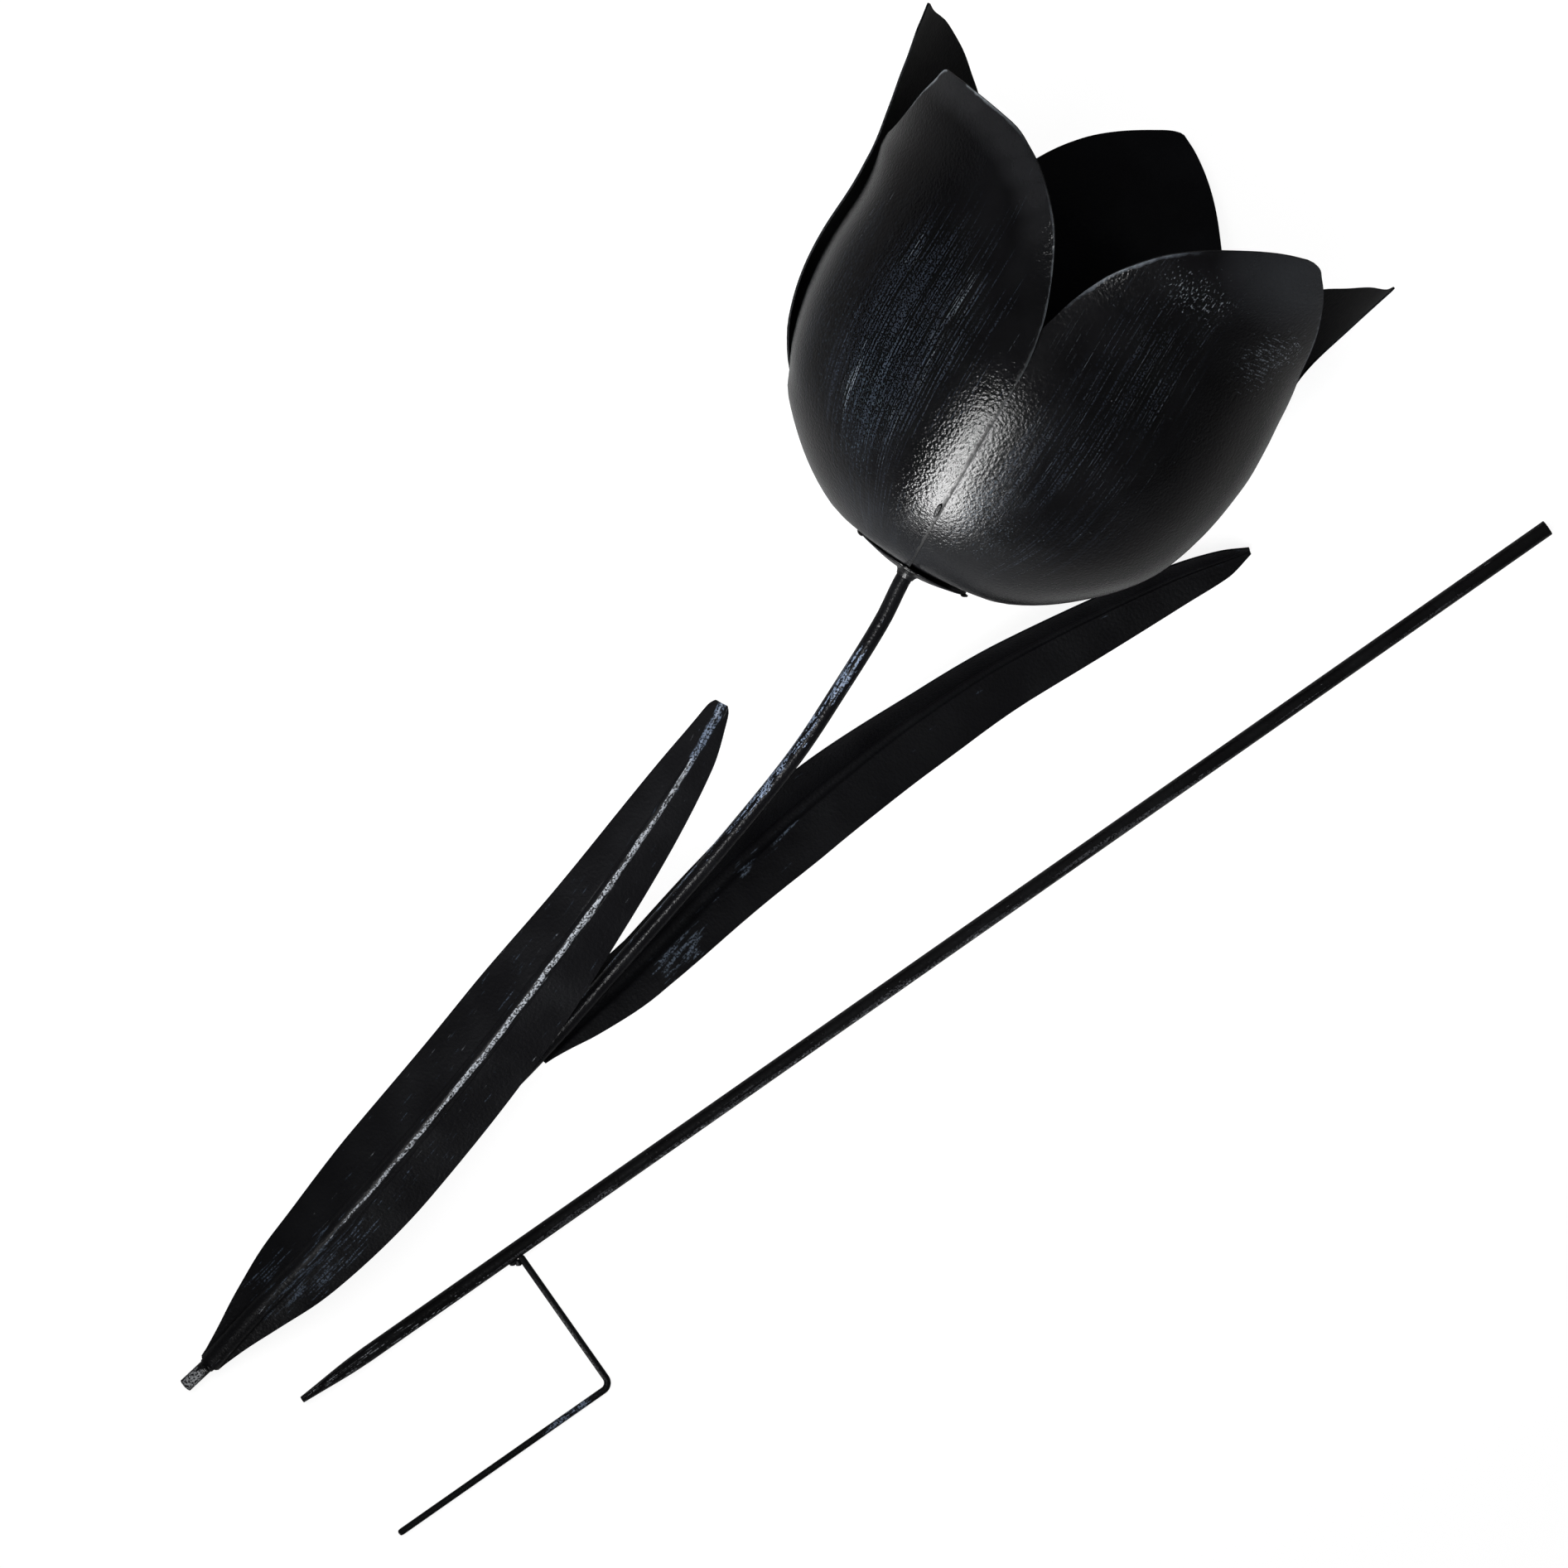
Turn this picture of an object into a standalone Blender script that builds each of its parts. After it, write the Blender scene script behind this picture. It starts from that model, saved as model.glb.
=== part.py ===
"""Metal tulip garden stake, lying on the floor in its two halves.

The flower half is a bloom of five sheet petals on a shallow cup, a curved stem tube and two
channelled leaves. The stake half is a tube pinched to a point with an L-shaped prong beside it.
The flower is drawn upright in its own frame, X to its left, Y to its front and Z up the bloom's
axis, and is then laid down until its back petal, its stem's end and its right leaf touch the floor.
The world frame has X along the stake, from its point to its open end, and Z up.
"""
import math

import bmesh
import bpy
from mathutils import Matrix, Vector

MM = 0.001

# Fits between pieces
SEAT_GAP = 0.3 * MM
LAP_GAP = 0.5 * MM
SLIP_CLEARANCE = 0.1 * MM

# Stock
SHEET = 0.8 * MM
TUBE_RADIUS = 3.25 * MM
TUBE_WALL = 0.35 * MM
ROD_RADIUS = 1.4 * MM
TUBE_SIDES = 24
ROD_SIDES = 10

# Bloom: outer face of the outermost petals, (radius, height) from the cup up to the flared rim
PETAL_PROFILE = (
    (TUBE_RADIUS + SEAT_GAP, -2.8 * MM),
    (12 * MM, -1.8 * MM),
    (24 * MM, 1.2 * MM),
    (42 * MM, 5.5 * MM),
    (63.5 * MM, 20 * MM),
    (83 * MM, 42 * MM),
    (92 * MM, 65 * MM),
    (95.5 * MM, 92 * MM),
    (94.5 * MM, 122 * MM),
    (95 * MM, 142 * MM),
    (101 * MM, 165 * MM),
    (109 * MM, 192 * MM),
)
PETAL_COLUMNS = 14
BODY_ROWS = (0.6, 6, 14, 24, 36, 48, 60, 73, 87, 102, 118, 134, 150, 168)
TIP_ROWS = (56, 44, 34, 25, 17, 10, 5, 2, 0.7, 0)

# Petals: (name, heading of the tip, length up the profile, layer from the outside in, left edge,
# right edge, lean). Edges are (distance below the tip in mm, degrees from the tip's heading). A lean
# bends a petal's side off the round: (heading where it starts, heading where it is full, and pairs of
# length up the profile and way outwards, in mm).
PETALS = (
    ("petal_front_left", 55, 233.3 * MM, 0,
     ((0, 0.3), (0.7, 1.2), (6.4, 4), (14.4, 8.5), (23.7, 13.8), (33.2, 21), (43.6, 33), (148, 33),
      (165, 39), (180, 43), (300, 43)),
     ((0, 8.5), (0.8, 16.5), (2.5, 24.8), (6.2, 29.5), (10.5, 33.5), (17.4, 37.8), (26.7, 42.3),
      (36, 45.5), (48.2, 49), (62, 52), (81.6, 53.8), (300, 54.5)),
     (58, 84, ((85, 0), (97, -2.2), (130, -2.8), (165, -3.2), (178, -2.4), (190, 0)))),
    ("petal_front_right", -41, 243.6 * MM, 1,
     ((0, 1), (1.7, 5.3), (4.3, 9.5), (8.8, 14.8), (15.7, 21.5), (24.2, 27.8), (33, 32.3),
      (46.6, 37.8), (63.6, 42), (100, 46.5), (300, 47)),
     ((0, 1), (0.9, 3.2), (3.8, 5.5), (9.4, 9.8), (20.3, 16.8), (34.1, 25.5), (46, 33.3), (55, 41),
      (67, 47), (120, 51), (300, 51)),
     (-60, -84, ((120, 0), (140, 0.5), (155, 1), (166, 1), (180, 0.3), (190, 0)))),
    ("petal_side_left", 98, 246 * MM, 1,
     ((0, 0.5), (2.5, 5.8), (4.3, 13), (7.3, 18), (13.4, 25), (20.5, 30.3), (26.4, 34.5), (40, 41),
      (60, 46), (90, 49), (300, 50)),
     ((0, 0.5), (6, 3.5), (12, 7), (161, 7), (175, 15), (190, 35), (210, 48), (300, 48)),
     (132, 104, ((90, 0), (103, 1.4), (111, 2.3), (136, 3), (163, 2.5), (183, 3.4), (199, 4.6),
                 (213, 3.7), (227, 2.2), (242, 1.3), (250, 1.3)))),
    ("petal_side_right", -92, 244.5 * MM, 2,
     ((0, 0.4), (2, 1.5), (51, 1.5), (65, 8), (85, 22), (110, 35), (140, 40), (300, 40)),
     ((0, 0.4), (2.3, 3), (7.1, 14.8), (14, 23.8), (19.6, 30.3), (30, 38), (45, 46), (70, 53),
      (110, 57), (300, 58)),
     None),
    ("petal_back", 182.5, 246.1 * MM, 0,
     ((0, 0.5), (1.3, 2), (3.1, 4), (8.4, 8.5), (15.6, 13.5), (28.3, 20.8), (40, 27), (60, 33),
      (90, 38.5), (150, 42.5), (300, 42.5)),
     ((0, 0.5), (0.7, 1.8), (4.4, 5.5), (13.2, 13), (20.9, 18.3), (36, 26), (60, 35), (90, 41),
      (150, 45.5), (300, 45.5)),
     None),
)

# Calyx cup and its welds
CUP_RADIUS = 23.3 * MM
CUP_SEGMENTS = 32
RIM_WELDS = 5
RIM_WELD_HALF = (1.0 * MM, 3.2 * MM, 0.7 * MM)
STEM_WELD_REACH = 2.4 * MM
SEAM_WELD_HEIGHT = 33 * MM
SEAM_WELD_HALF = (0.9 * MM, 3.6 * MM, 0.45 * MM)

# Stem: centre line from the cup down to its lower end, (left, height)
STEM_LINE = (
    (0, 0.5 * MM),
    (0, -9 * MM),
    (-1.4 * MM, -26 * MM),
    (-1 * MM, -58 * MM),
    (0.4 * MM, -90 * MM),
    (6.1 * MM, -132 * MM),
    (14.1 * MM, -179 * MM),
    (28 * MM, -253 * MM),
    (45.6 * MM, -318 * MM),
    (65.1 * MM, -385 * MM),
    (79.8 * MM, -437.5 * MM),
)
STEM_RINGS = 26
STUB_LENGTH = 11 * MM
SHOULDER = 0.6 * MM

# Leaves: bends are (rise above the leaf's base, left of the stem, in front of the stem) and half
# widths are (share of the length, mm)
LEAF_ROWS = 22
LEFT_LEAF_BASE = 13.5 * MM
LEFT_LEAF_BENDS = (
    (0, 0, 0),
    (28 * MM, 2.7 * MM, 5 * MM),
    (72 * MM, 5.7 * MM, 12 * MM),
    (116 * MM, 10.9 * MM, 18 * MM),
    (170 * MM, 17.8 * MM, 24 * MM),
    (248 * MM, 24.6 * MM, 28 * MM),
    (315 * MM, 32 * MM, 25 * MM),
    (341 * MM, 36 * MM, 22 * MM),
)
LEFT_LEAF_WIDTHS = (
    (0, 4.2), (0.04, 7), (0.09, 11.5), (0.17, 18), (0.33, 21.8), (0.55, 20.6), (0.72, 16.5),
    (0.84, 13.2), (0.93, 9.4), (0.975, 5.8), (1, 1.6),
)
LEFT_LEAF_FOLD = 22
LEFT_LEAF_TWIST = ((0, 0), (1, 0))
RIGHT_LEAF_BASE = 191 * MM
RIGHT_LEAF_BENDS = (
    (0, 0, 0),
    (23 * MM, -3 * MM, -6.5 * MM),
    (48 * MM, -6.5 * MM, -14 * MM),
    (91 * MM, -10 * MM, -27 * MM),
    (122 * MM, -14.1 * MM, -36.5 * MM),
    (156 * MM, -22.1 * MM, -46.5 * MM),
    (186 * MM, -33.6 * MM, -56 * MM),
    (224 * MM, -53.1 * MM, -68 * MM),
    (281 * MM, -92.5 * MM, -83 * MM),
    (308 * MM, -114.4 * MM, -89 * MM),
)
RIGHT_LEAF_WIDTHS = (
    (0, 4.2), (0.03, 6.5), (0.065, 9.8), (0.145, 14.8), (0.285, 18.8), (0.4, 21.3), (0.55, 21.3),
    (0.65, 20), (0.76, 17.8), (0.9, 12), (0.965, 7.6), (1, 1.6),
)
RIGHT_LEAF_FOLD = 32
RIGHT_LEAF_TWIST = ((0, 0), (0.16, 16), (0.42, 19), (0.58, 31), (0.75, 33), (1, 24))
RIB_TIP_RADIUS = 0.6 * MM
RIB_MIDDLE_RADIUS = 2.4 * MM
RIB_FILLET = 0.9 * MM
FOLD_SHARE = 0.16
LEAF_WELD_HALF = (2.2 * MM, 0.8 * MM, 0.9 * MM)

# Stake half
STAKE_LENGTH = 610 * MM
TAPER_LENGTH = 32 * MM
TIP_HALF_WIDTH = 1.35 * MM
TIP_HALF_HEIGHT = 2.2 * MM
TIP_SLIT_HALF = 0.35 * MM
PRONG_DISTANCE = 104.7 * MM
PRONG_OFFSET = 66.4 * MM
PRONG_BEND = 3.7 * MM
PRONG_END = 0.7 * MM
PRONG_WELD_HALF = (2.4 * MM, 1.7 * MM, 1.4 * MM)

# Where the flower lies beside the stake: from the stake's point to the middle of the cup
CUP_FROM_POINT_X = 391 * MM
CUP_FROM_POINT_Y = 133.5 * MM
BLOOM_HEADING = 23.95
FIRST_TILT = 10.0


def clear_scene():
    for item in list(bpy.data.objects):
        bpy.data.objects.remove(item, do_unlink=True)


def paint(name, colour, roughness, metallic):
    """Plain painted or bare metal."""
    material = bpy.data.materials.new(name)
    material.use_nodes = True
    shader = material.node_tree.nodes["Principled BSDF"]
    shader.inputs["Base Color"].default_value = (*colour, 1)
    shader.inputs["Roughness"].default_value = roughness
    shader.inputs["Metallic"].default_value = metallic
    material.diffuse_color = (*colour, 1)
    return material


def smooth_path(points, share):
    """Point on a smooth curve through the given points, share 0 to 1 of the way by chord length."""
    knots = [0.0]
    for a, b in zip(points, points[1:]):
        knots.append(knots[-1] + (Vector(b) - Vector(a)).length)
    where = share * knots[-1]
    slopes = []
    for i in range(len(points)):
        low = max(i - 1, 0)
        high = min(i + 1, len(points) - 1)
        slopes.append((Vector(points[high]) - Vector(points[low])) / (knots[high] - knots[low]))
    i = 0
    while i < len(points) - 2 and where > knots[i + 1]:
        i += 1
    span = knots[i + 1] - knots[i]
    u = (where - knots[i]) / span
    start = Vector(points[i]) * (2 * u**3 - 3 * u**2 + 1) + slopes[i] * span * (u**3 - 2 * u**2 + u)
    end = Vector(points[i + 1]) * (3 * u**2 - 2 * u**3) + slopes[i + 1] * span * (u**3 - u**2)
    return start + end


def smooth_value(pairs, x):
    """Value at x on a curve through (x, value) pairs that never overshoots them."""
    steps = [b[0] - a[0] for a, b in zip(pairs, pairs[1:])]
    slopes = [(b[1] - a[1]) / (b[0] - a[0]) for a, b in zip(pairs, pairs[1:])]
    bends = [slopes[0]]
    for before, after in zip(slopes, slopes[1:]):
        same_way = before * after > 0
        bends.append(2 * before * after / (before + after) if same_way else 0.0)
    bends.append(slopes[-1])
    x = min(max(x, pairs[0][0]), pairs[-1][0])
    i = 0
    while i < len(steps) - 1 and x > pairs[i + 1][0]:
        i += 1
    u = (x - pairs[i][0]) / steps[i]
    start = pairs[i][1] * (2 * u**3 - 3 * u**2 + 1) + bends[i] * steps[i] * (u**3 - 2 * u**2 + u)
    end = pairs[i + 1][1] * (3 * u**2 - 2 * u**3) + bends[i + 1] * steps[i] * (u**3 - u**2)
    return start + end


def add_object(name, bm, material, parent):
    """Closes a bmesh into a named object, smooth where its faces meet at a shallow angle."""
    mesh = bpy.data.meshes.new(name)
    bm.to_mesh(mesh)
    bm.free()
    mesh.shade_smooth()
    mesh.set_sharp_from_angle(angle=math.radians(35))
    item = bpy.data.objects.new(name, mesh)
    item.data.materials.append(material)
    item.parent = parent
    bpy.context.scene.collection.objects.link(item)
    return item


def grid_faces(bm, rows, closed):
    """Quads between rows of vertices; closed joins the last of each row to its first."""
    count = len(rows[0])
    for lower, upper in zip(rows, rows[1:]):
        for j in range(count if closed else count - 1):
            k = (j + 1) % count
            bm.faces.new((lower[j], lower[k], upper[k], upper[j]))


def sheet_piece(name, rows, material, parent):
    """Sheet of metal that grows from a grid of points to the side its faces look to."""
    bm = bmesh.new()
    grid_faces(bm, [[bm.verts.new(point) for point in row] for row in rows], False)
    item = add_object(name, bm, material, parent)
    solid = item.modifiers.new("thickness", "SOLIDIFY")
    solid.thickness = SHEET
    solid.offset = 1
    return item


def ring(centre, across, up, half_width, half_height, sides):
    points = []
    for k in range(sides):
        turn = 2 * math.pi * k / sides
        points.append(centre + across * half_width * math.cos(turn) + up * half_height * math.sin(turn))
    return points


def bar_piece(name, rings, material, parent):
    """Solid bar through rings of points, closed with a flat face at each end."""
    bm = bmesh.new()
    rows = [[bm.verts.new(point) for point in points] for points in rings]
    grid_faces(bm, rows, True)
    bm.faces.new(rows[0])
    bm.faces.new(rows[-1])
    bmesh.ops.recalc_face_normals(bm, faces=bm.faces)
    return add_object(name, bm, material, parent)


def pipe_piece(name, outer, inner, material, parent):
    """Tube open at both ends: outer rings one way, inner rings the other way, joined at the cut ends."""
    bm = bmesh.new()
    rows = [[bm.verts.new(point) for point in points] for points in outer + inner[::-1]]
    grid_faces(bm, rows + rows[:1], True)
    bmesh.ops.recalc_face_normals(bm, faces=bm.faces)
    return add_object(name, bm, material, parent)


def turned_piece(name, outline, material, parent, segments):
    """Ring turned about Z from a closed outline of (radius, height)."""
    bm = bmesh.new()
    rows = []
    for k in range(segments):
        turn = 2 * math.pi * k / segments
        row = [bm.verts.new((r * math.sin(turn), r * math.cos(turn), z)) for r, z in outline]
        rows.append(row)
    grid_faces(bm, rows + rows[:1], True)
    bmesh.ops.recalc_face_normals(bm, faces=bm.faces)
    return add_object(name, bm, material, parent)


def bead_piece(name, place, halves, material, parent):
    """Weld bead: a low rounded lump with the given half sizes, at a placing matrix."""
    bm = bmesh.new()
    matrix = place @ Matrix.Diagonal((*halves, 1))
    bmesh.ops.create_uvsphere(bm, u_segments=8, v_segments=5, radius=1, matrix=matrix)
    bmesh.ops.recalc_face_normals(bm, faces=bm.faces)
    return add_object(name, bm, material, parent)


def placing(origin, x_axis, y_axis, z_axis):
    """Matrix with the given axes and origin."""
    matrix = Matrix((x_axis, y_axis, z_axis)).transposed().to_4x4()
    matrix.translation = origin
    return matrix


class Profile:
    """The bloom's outer curve, read by its length from the stem outwards."""

    def __init__(self, points):
        steps = 400
        self.points = [smooth_path(points, k / steps) for k in range(steps + 1)]
        self.lengths = [0.0]
        for a, b in zip(self.points, self.points[1:]):
            self.lengths.append(self.lengths[-1] + (b - a).length)

    def at(self, length, inwards):
        """(radius, height) at a length along the curve, moved square to it towards the inside."""
        i = 1
        while i < len(self.lengths) - 1 and self.lengths[i] < length:
            i += 1
        a = self.points[i - 1]
        b = self.points[i]
        share = (length - self.lengths[i - 1]) / (self.lengths[i] - self.lengths[i - 1])
        along = (b - a).normalized()
        return a + (b - a) * share + Vector((-along.y, along.x)) * inwards

    def length_at_radius(self, radius):
        i = 0
        while self.points[i].x < radius:
            i += 1
        return self.lengths[i]

    def length_at_height(self, height):
        i = 0
        while self.points[i].y < height:
            i += 1
        return self.lengths[i]


def bloom_point(flat, heading):
    """Point of the bloom at a (radius, height) pair and a heading in degrees, 0 front, 90 left."""
    turn = math.radians(heading)
    return Vector((flat.x * math.sin(turn), flat.x * math.cos(turn), flat.y))


def lean_at(lean, along, heading):
    """How far a leaning petal side stands outwards of the round at a length and a heading."""
    if not lean:
        return 0.0
    first, full, pairs = lean
    share = min(max((heading - first) / (full - first), 0), 1)
    way = smooth_value([(row * MM, out * MM) for row, out in pairs], along)
    return way * share * share * (3 - 2 * share)


def petal_rows(profile, heading, length, layer, left, right, lean):
    left = [(row * MM, degrees) for row, degrees in left]
    right = [(row * MM, degrees) for row, degrees in right]
    body = [row * MM for row in BODY_ROWS if row * MM < length - TIP_ROWS[0] * MM - 8 * MM]
    tip = [length - row * MM for row in TIP_ROWS]
    rows = []
    for along in body + tip:
        first = heading - smooth_value(right, length - along)
        last = heading + smooth_value(left, length - along)
        row = []
        for k in range(PETAL_COLUMNS + 1):
            turn = first + (last - first) * k / PETAL_COLUMNS
            inwards = layer * (SHEET + LAP_GAP) - lean_at(lean, along, turn)
            row.append(bloom_point(profile.at(along, inwards), turn))
        rows.append(row)
    return rows


def make_bloom(profile, flower):
    black = paint("black_painted_sheet", (0.02, 0.021, 0.024), 0.35, 0.0)
    for name, *shape in PETALS:
        sheet_piece(name, petal_rows(profile, *shape), black.copy(), flower)


def make_cup(profile, flower):
    """Dish that hugs the outermost petals from below, with its welds."""
    black = paint("black_painted_cup", (0.015, 0.015, 0.017), 0.4, 0.0)
    weld = paint("painted_weld", (0.03, 0.03, 0.033), 0.3, 0.0)
    rim = profile.length_at_radius(CUP_RADIUS)
    stations = [row * MM for row in BODY_ROWS if row * MM < rim - 2 * MM] + [rim]
    inside = [profile.at(s, -SEAT_GAP) for s in stations]
    outside = [profile.at(s, -SEAT_GAP - SHEET) for s in stations]
    turned_piece("calyx_cup", inside + outside[::-1], black, flower, CUP_SEGMENTS)

    under = outside[0].y - SEAT_GAP
    slope = (outside[1].y - outside[0].y) / (outside[1].x - outside[0].x)
    bore = TUBE_RADIUS + SEAT_GAP
    ring_outline = [
        (bore, under),
        (bore + STEM_WELD_REACH, under + slope * STEM_WELD_REACH),
        (bore + STEM_WELD_REACH / 3, under - STEM_WELD_REACH / 2),
        (bore, under - STEM_WELD_REACH),
    ]
    turned_piece("stem_weld", ring_outline, weld.copy(), flower, 20)

    beyond = rim + SEAT_GAP + RIM_WELD_HALF[0]
    for k in range(RIM_WELDS):
        heading = 360 * k / RIM_WELDS
        centre = bloom_point(profile.at(beyond, -SEAT_GAP - RIM_WELD_HALF[2]), heading)
        outer = bloom_point(profile.at(beyond + MM, -SEAT_GAP - RIM_WELD_HALF[2]), heading)
        away = (outer - centre).normalized()
        round_about = Vector((math.cos(math.radians(heading)), -math.sin(math.radians(heading)), 0))
        place = placing(centre, away, round_about, away.cross(round_about))
        bead_piece(f"rim_weld_{k + 1}", place, RIM_WELD_HALF, weld.copy(), flower)

    along = profile.length_at_height(SEAM_WELD_HEIGHT)
    heading = PETALS[0][1] - PETALS[0][5][-1][1] + 1.5
    centre = bloom_point(profile.at(along, -SEAT_GAP - SEAM_WELD_HALF[2]), heading)
    higher = bloom_point(profile.at(along + MM, -SEAT_GAP - SEAM_WELD_HALF[2]), heading)
    up = (higher - centre).normalized()
    side = Vector((math.cos(math.radians(heading)), -math.sin(math.radians(heading)), 0))
    place = placing(centre, side, up, side.cross(up))
    bead_piece("seam_weld", place, SEAM_WELD_HALF, weld, flower)


def stem_point(height):
    """Centre of the stem at a height in the flower's frame, found by halving."""
    low = 0.0
    high = 1.0
    for _ in range(40):
        middle = (low + high) / 2
        if smooth_path(STEM_LINE, middle)[1] > height:
            low = middle
        else:
            high = middle
    left = smooth_path(STEM_LINE, (low + high) / 2)[0]
    return Vector((left, 0, height))


def make_stem(flower):
    """Curved tube whose lower end is necked down to plug into the stake."""
    bottom = STEM_LINE[-1][1]
    top = STEM_LINE[0][1]
    stub_radius = TUBE_RADIUS - TUBE_WALL - SLIP_CLEARANCE
    heights = [bottom, bottom + STUB_LENGTH, bottom + STUB_LENGTH + SHOULDER]
    radii = [stub_radius, stub_radius, TUBE_RADIUS]
    first = heights[-1]
    for k in range(1, STEM_RINGS + 1):
        heights.append(first + (top - first) * k / STEM_RINGS)
        radii.append(TUBE_RADIUS)
    outer = []
    inner = []
    front = Vector((0, 1, 0))
    for height, radius in zip(heights, radii):
        centre = stem_point(height)
        above = stem_point(min(height + MM, top))
        below = stem_point(max(height - MM, bottom))
        along = (above - below).normalized()
        across = front.cross(along).normalized()
        outer.append(ring(centre, across, front, radius, radius, TUBE_SIDES))
        inner.append(ring(centre, across, front, radius - TUBE_WALL, radius - TUBE_WALL, TUBE_SIDES))
    steel = paint("black_painted_tube", (0.02, 0.021, 0.024), 0.3, 0.0)
    pipe_piece("stem_tube", outer, inner, steel, flower)


def leaf_rows(base, bends, widths, fold, twist, front):
    """Inner face of a leaf: a half-round channel with a flank on each side.

    front is 1 for a leaf that humps towards the flower's front and -1 for one behind the stem.
    The flanks start flat beside the stem and reach their full fold further up, and twist turns
    the whole section about its length, in (share of the length, degrees).
    """
    bottom = STEM_LINE[-1][1] + base
    line = []
    for rise, left, ahead in bends:
        line.append(stem_point(bottom + rise) + Vector((left, ahead, 0)))
    table = [(share, width * MM) for share, width in widths]
    base_rib = TUBE_RADIUS + SEAT_GAP
    ribs = [(0, base_rib), (0.12, base_rib), (0.5, RIB_MIDDLE_RADIUS), (1, RIB_TIP_RADIUS)]
    rows = []
    for k in range(LEAF_ROWS + 1):
        spread = 1 - (1 - k / LEAF_ROWS) ** 1.25
        centre = smooth_path(line, spread)
        ahead = smooth_path(line, min(spread + 0.005, 1))
        behind = smooth_path(line, max(spread - 0.005, 0))
        along = (ahead - behind).normalized()
        grown = min(spread / FOLD_SHARE, 1)
        hump = (Vector((0, front, 0)) - along * along.y * front).normalized()
        hump = Matrix.Rotation(math.radians(smooth_value(twist, spread)), 3, along) @ hump
        across = along.cross(hump)
        rib = smooth_value(ribs, spread)
        width = max(smooth_value(table, spread), rib + RIB_FILLET)
        drop = math.tan(math.radians(fold * grown))
        reach = math.cos(math.radians(fold * grown)) * width
        half = []
        for turn in (0, 40, 78):
            half.append((rib * math.sin(math.radians(turn)), rib * math.cos(math.radians(turn))))
        foot = rib + RIB_FILLET * 0.6
        for share in (0, 1 / 3, 2 / 3, 1):
            wide = foot + max(reach - foot, 0.2 * MM) * share
            half.append((wide, -(wide - foot) * drop))
        row = []
        for wide, high in [(-w, h) for w, h in half[:0:-1]] + half:
            row.append(centre + across * wide + hump * high)
        rows.append(row)
    return rows


def leaf_weld(name, base, bends, front, material, flower):
    """Bead below the leaf's leaning lower edge, on the side of the stem that the leaf lies on."""
    lean = abs(bends[1][2]) / bends[1][0]
    edge = (TUBE_RADIUS + SEAT_GAP + SHEET) * lean
    height = STEM_LINE[-1][1] + base - edge - SEAT_GAP - LEAF_WELD_HALF[1]
    centre = stem_point(height)
    along = (stem_point(height + MM) - centre).normalized()
    outwards = Vector((0, front, 0))
    centre = centre + outwards * (TUBE_RADIUS + SEAT_GAP + LEAF_WELD_HALF[2])
    place = placing(centre, along.cross(outwards), along, outwards)
    bead_piece(name, place, LEAF_WELD_HALF, material, flower)


def make_leaves(flower):
    black = paint("black_painted_leaf", (0.025, 0.027, 0.032), 0.35, 0.0)
    weld = paint("painted_leaf_weld", (0.03, 0.03, 0.033), 0.3, 0.0)
    left = leaf_rows(LEFT_LEAF_BASE, LEFT_LEAF_BENDS, LEFT_LEAF_WIDTHS, LEFT_LEAF_FOLD,
                     LEFT_LEAF_TWIST, 1)
    sheet_piece("leaf_left", left, black.copy(), flower)
    right = leaf_rows(RIGHT_LEAF_BASE, RIGHT_LEAF_BENDS, RIGHT_LEAF_WIDTHS, RIGHT_LEAF_FOLD,
                      RIGHT_LEAF_TWIST, -1)
    sheet_piece("leaf_right", right, black, flower)
    leaf_weld("leaf_left_weld", LEFT_LEAF_BASE, LEFT_LEAF_BENDS, 1, weld.copy(), flower)
    leaf_weld("leaf_right_weld", RIGHT_LEAF_BASE, RIGHT_LEAF_BENDS, -1, weld, flower)


def make_stake(stake):
    """Tube along X with its point at the origin, its bore running out as a slit."""
    across = Vector((0, 1, 0))
    up = Vector((0, 0, 1))
    outer = []
    inner = []
    taper = (
        (0, TIP_HALF_WIDTH, TIP_HALF_HEIGHT),
        (TAPER_LENGTH * 0.25, TIP_HALF_WIDTH + (TUBE_RADIUS - TIP_HALF_WIDTH) * 0.3, TUBE_RADIUS),
        (TAPER_LENGTH * 0.5, TIP_HALF_WIDTH + (TUBE_RADIUS - TIP_HALF_WIDTH) * 0.62, TUBE_RADIUS),
        (TAPER_LENGTH * 0.75, TIP_HALF_WIDTH + (TUBE_RADIUS - TIP_HALF_WIDTH) * 0.88, TUBE_RADIUS),
        (TAPER_LENGTH, TUBE_RADIUS, TUBE_RADIUS),
        (STAKE_LENGTH / 2, TUBE_RADIUS, TUBE_RADIUS),
        (STAKE_LENGTH, TUBE_RADIUS, TUBE_RADIUS),
    )
    wall_at_tip = TIP_HALF_WIDTH - TIP_SLIT_HALF
    for x, half_width, half_height in taper:
        share = min(x / TAPER_LENGTH, 1)
        wall = wall_at_tip + (TUBE_WALL - wall_at_tip) * share
        centre = Vector((x, 0, 0))
        outer.append(ring(centre, across, up, half_width, half_height, TUBE_SIDES))
        inner.append(ring(centre, across, up, half_width - wall, half_height - wall, TUBE_SIDES))
    steel = paint("black_painted_stake", (0.02, 0.02, 0.022), 0.35, 0.0)
    pipe_piece("stake_tube", outer, inner, steel, stake)


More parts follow.
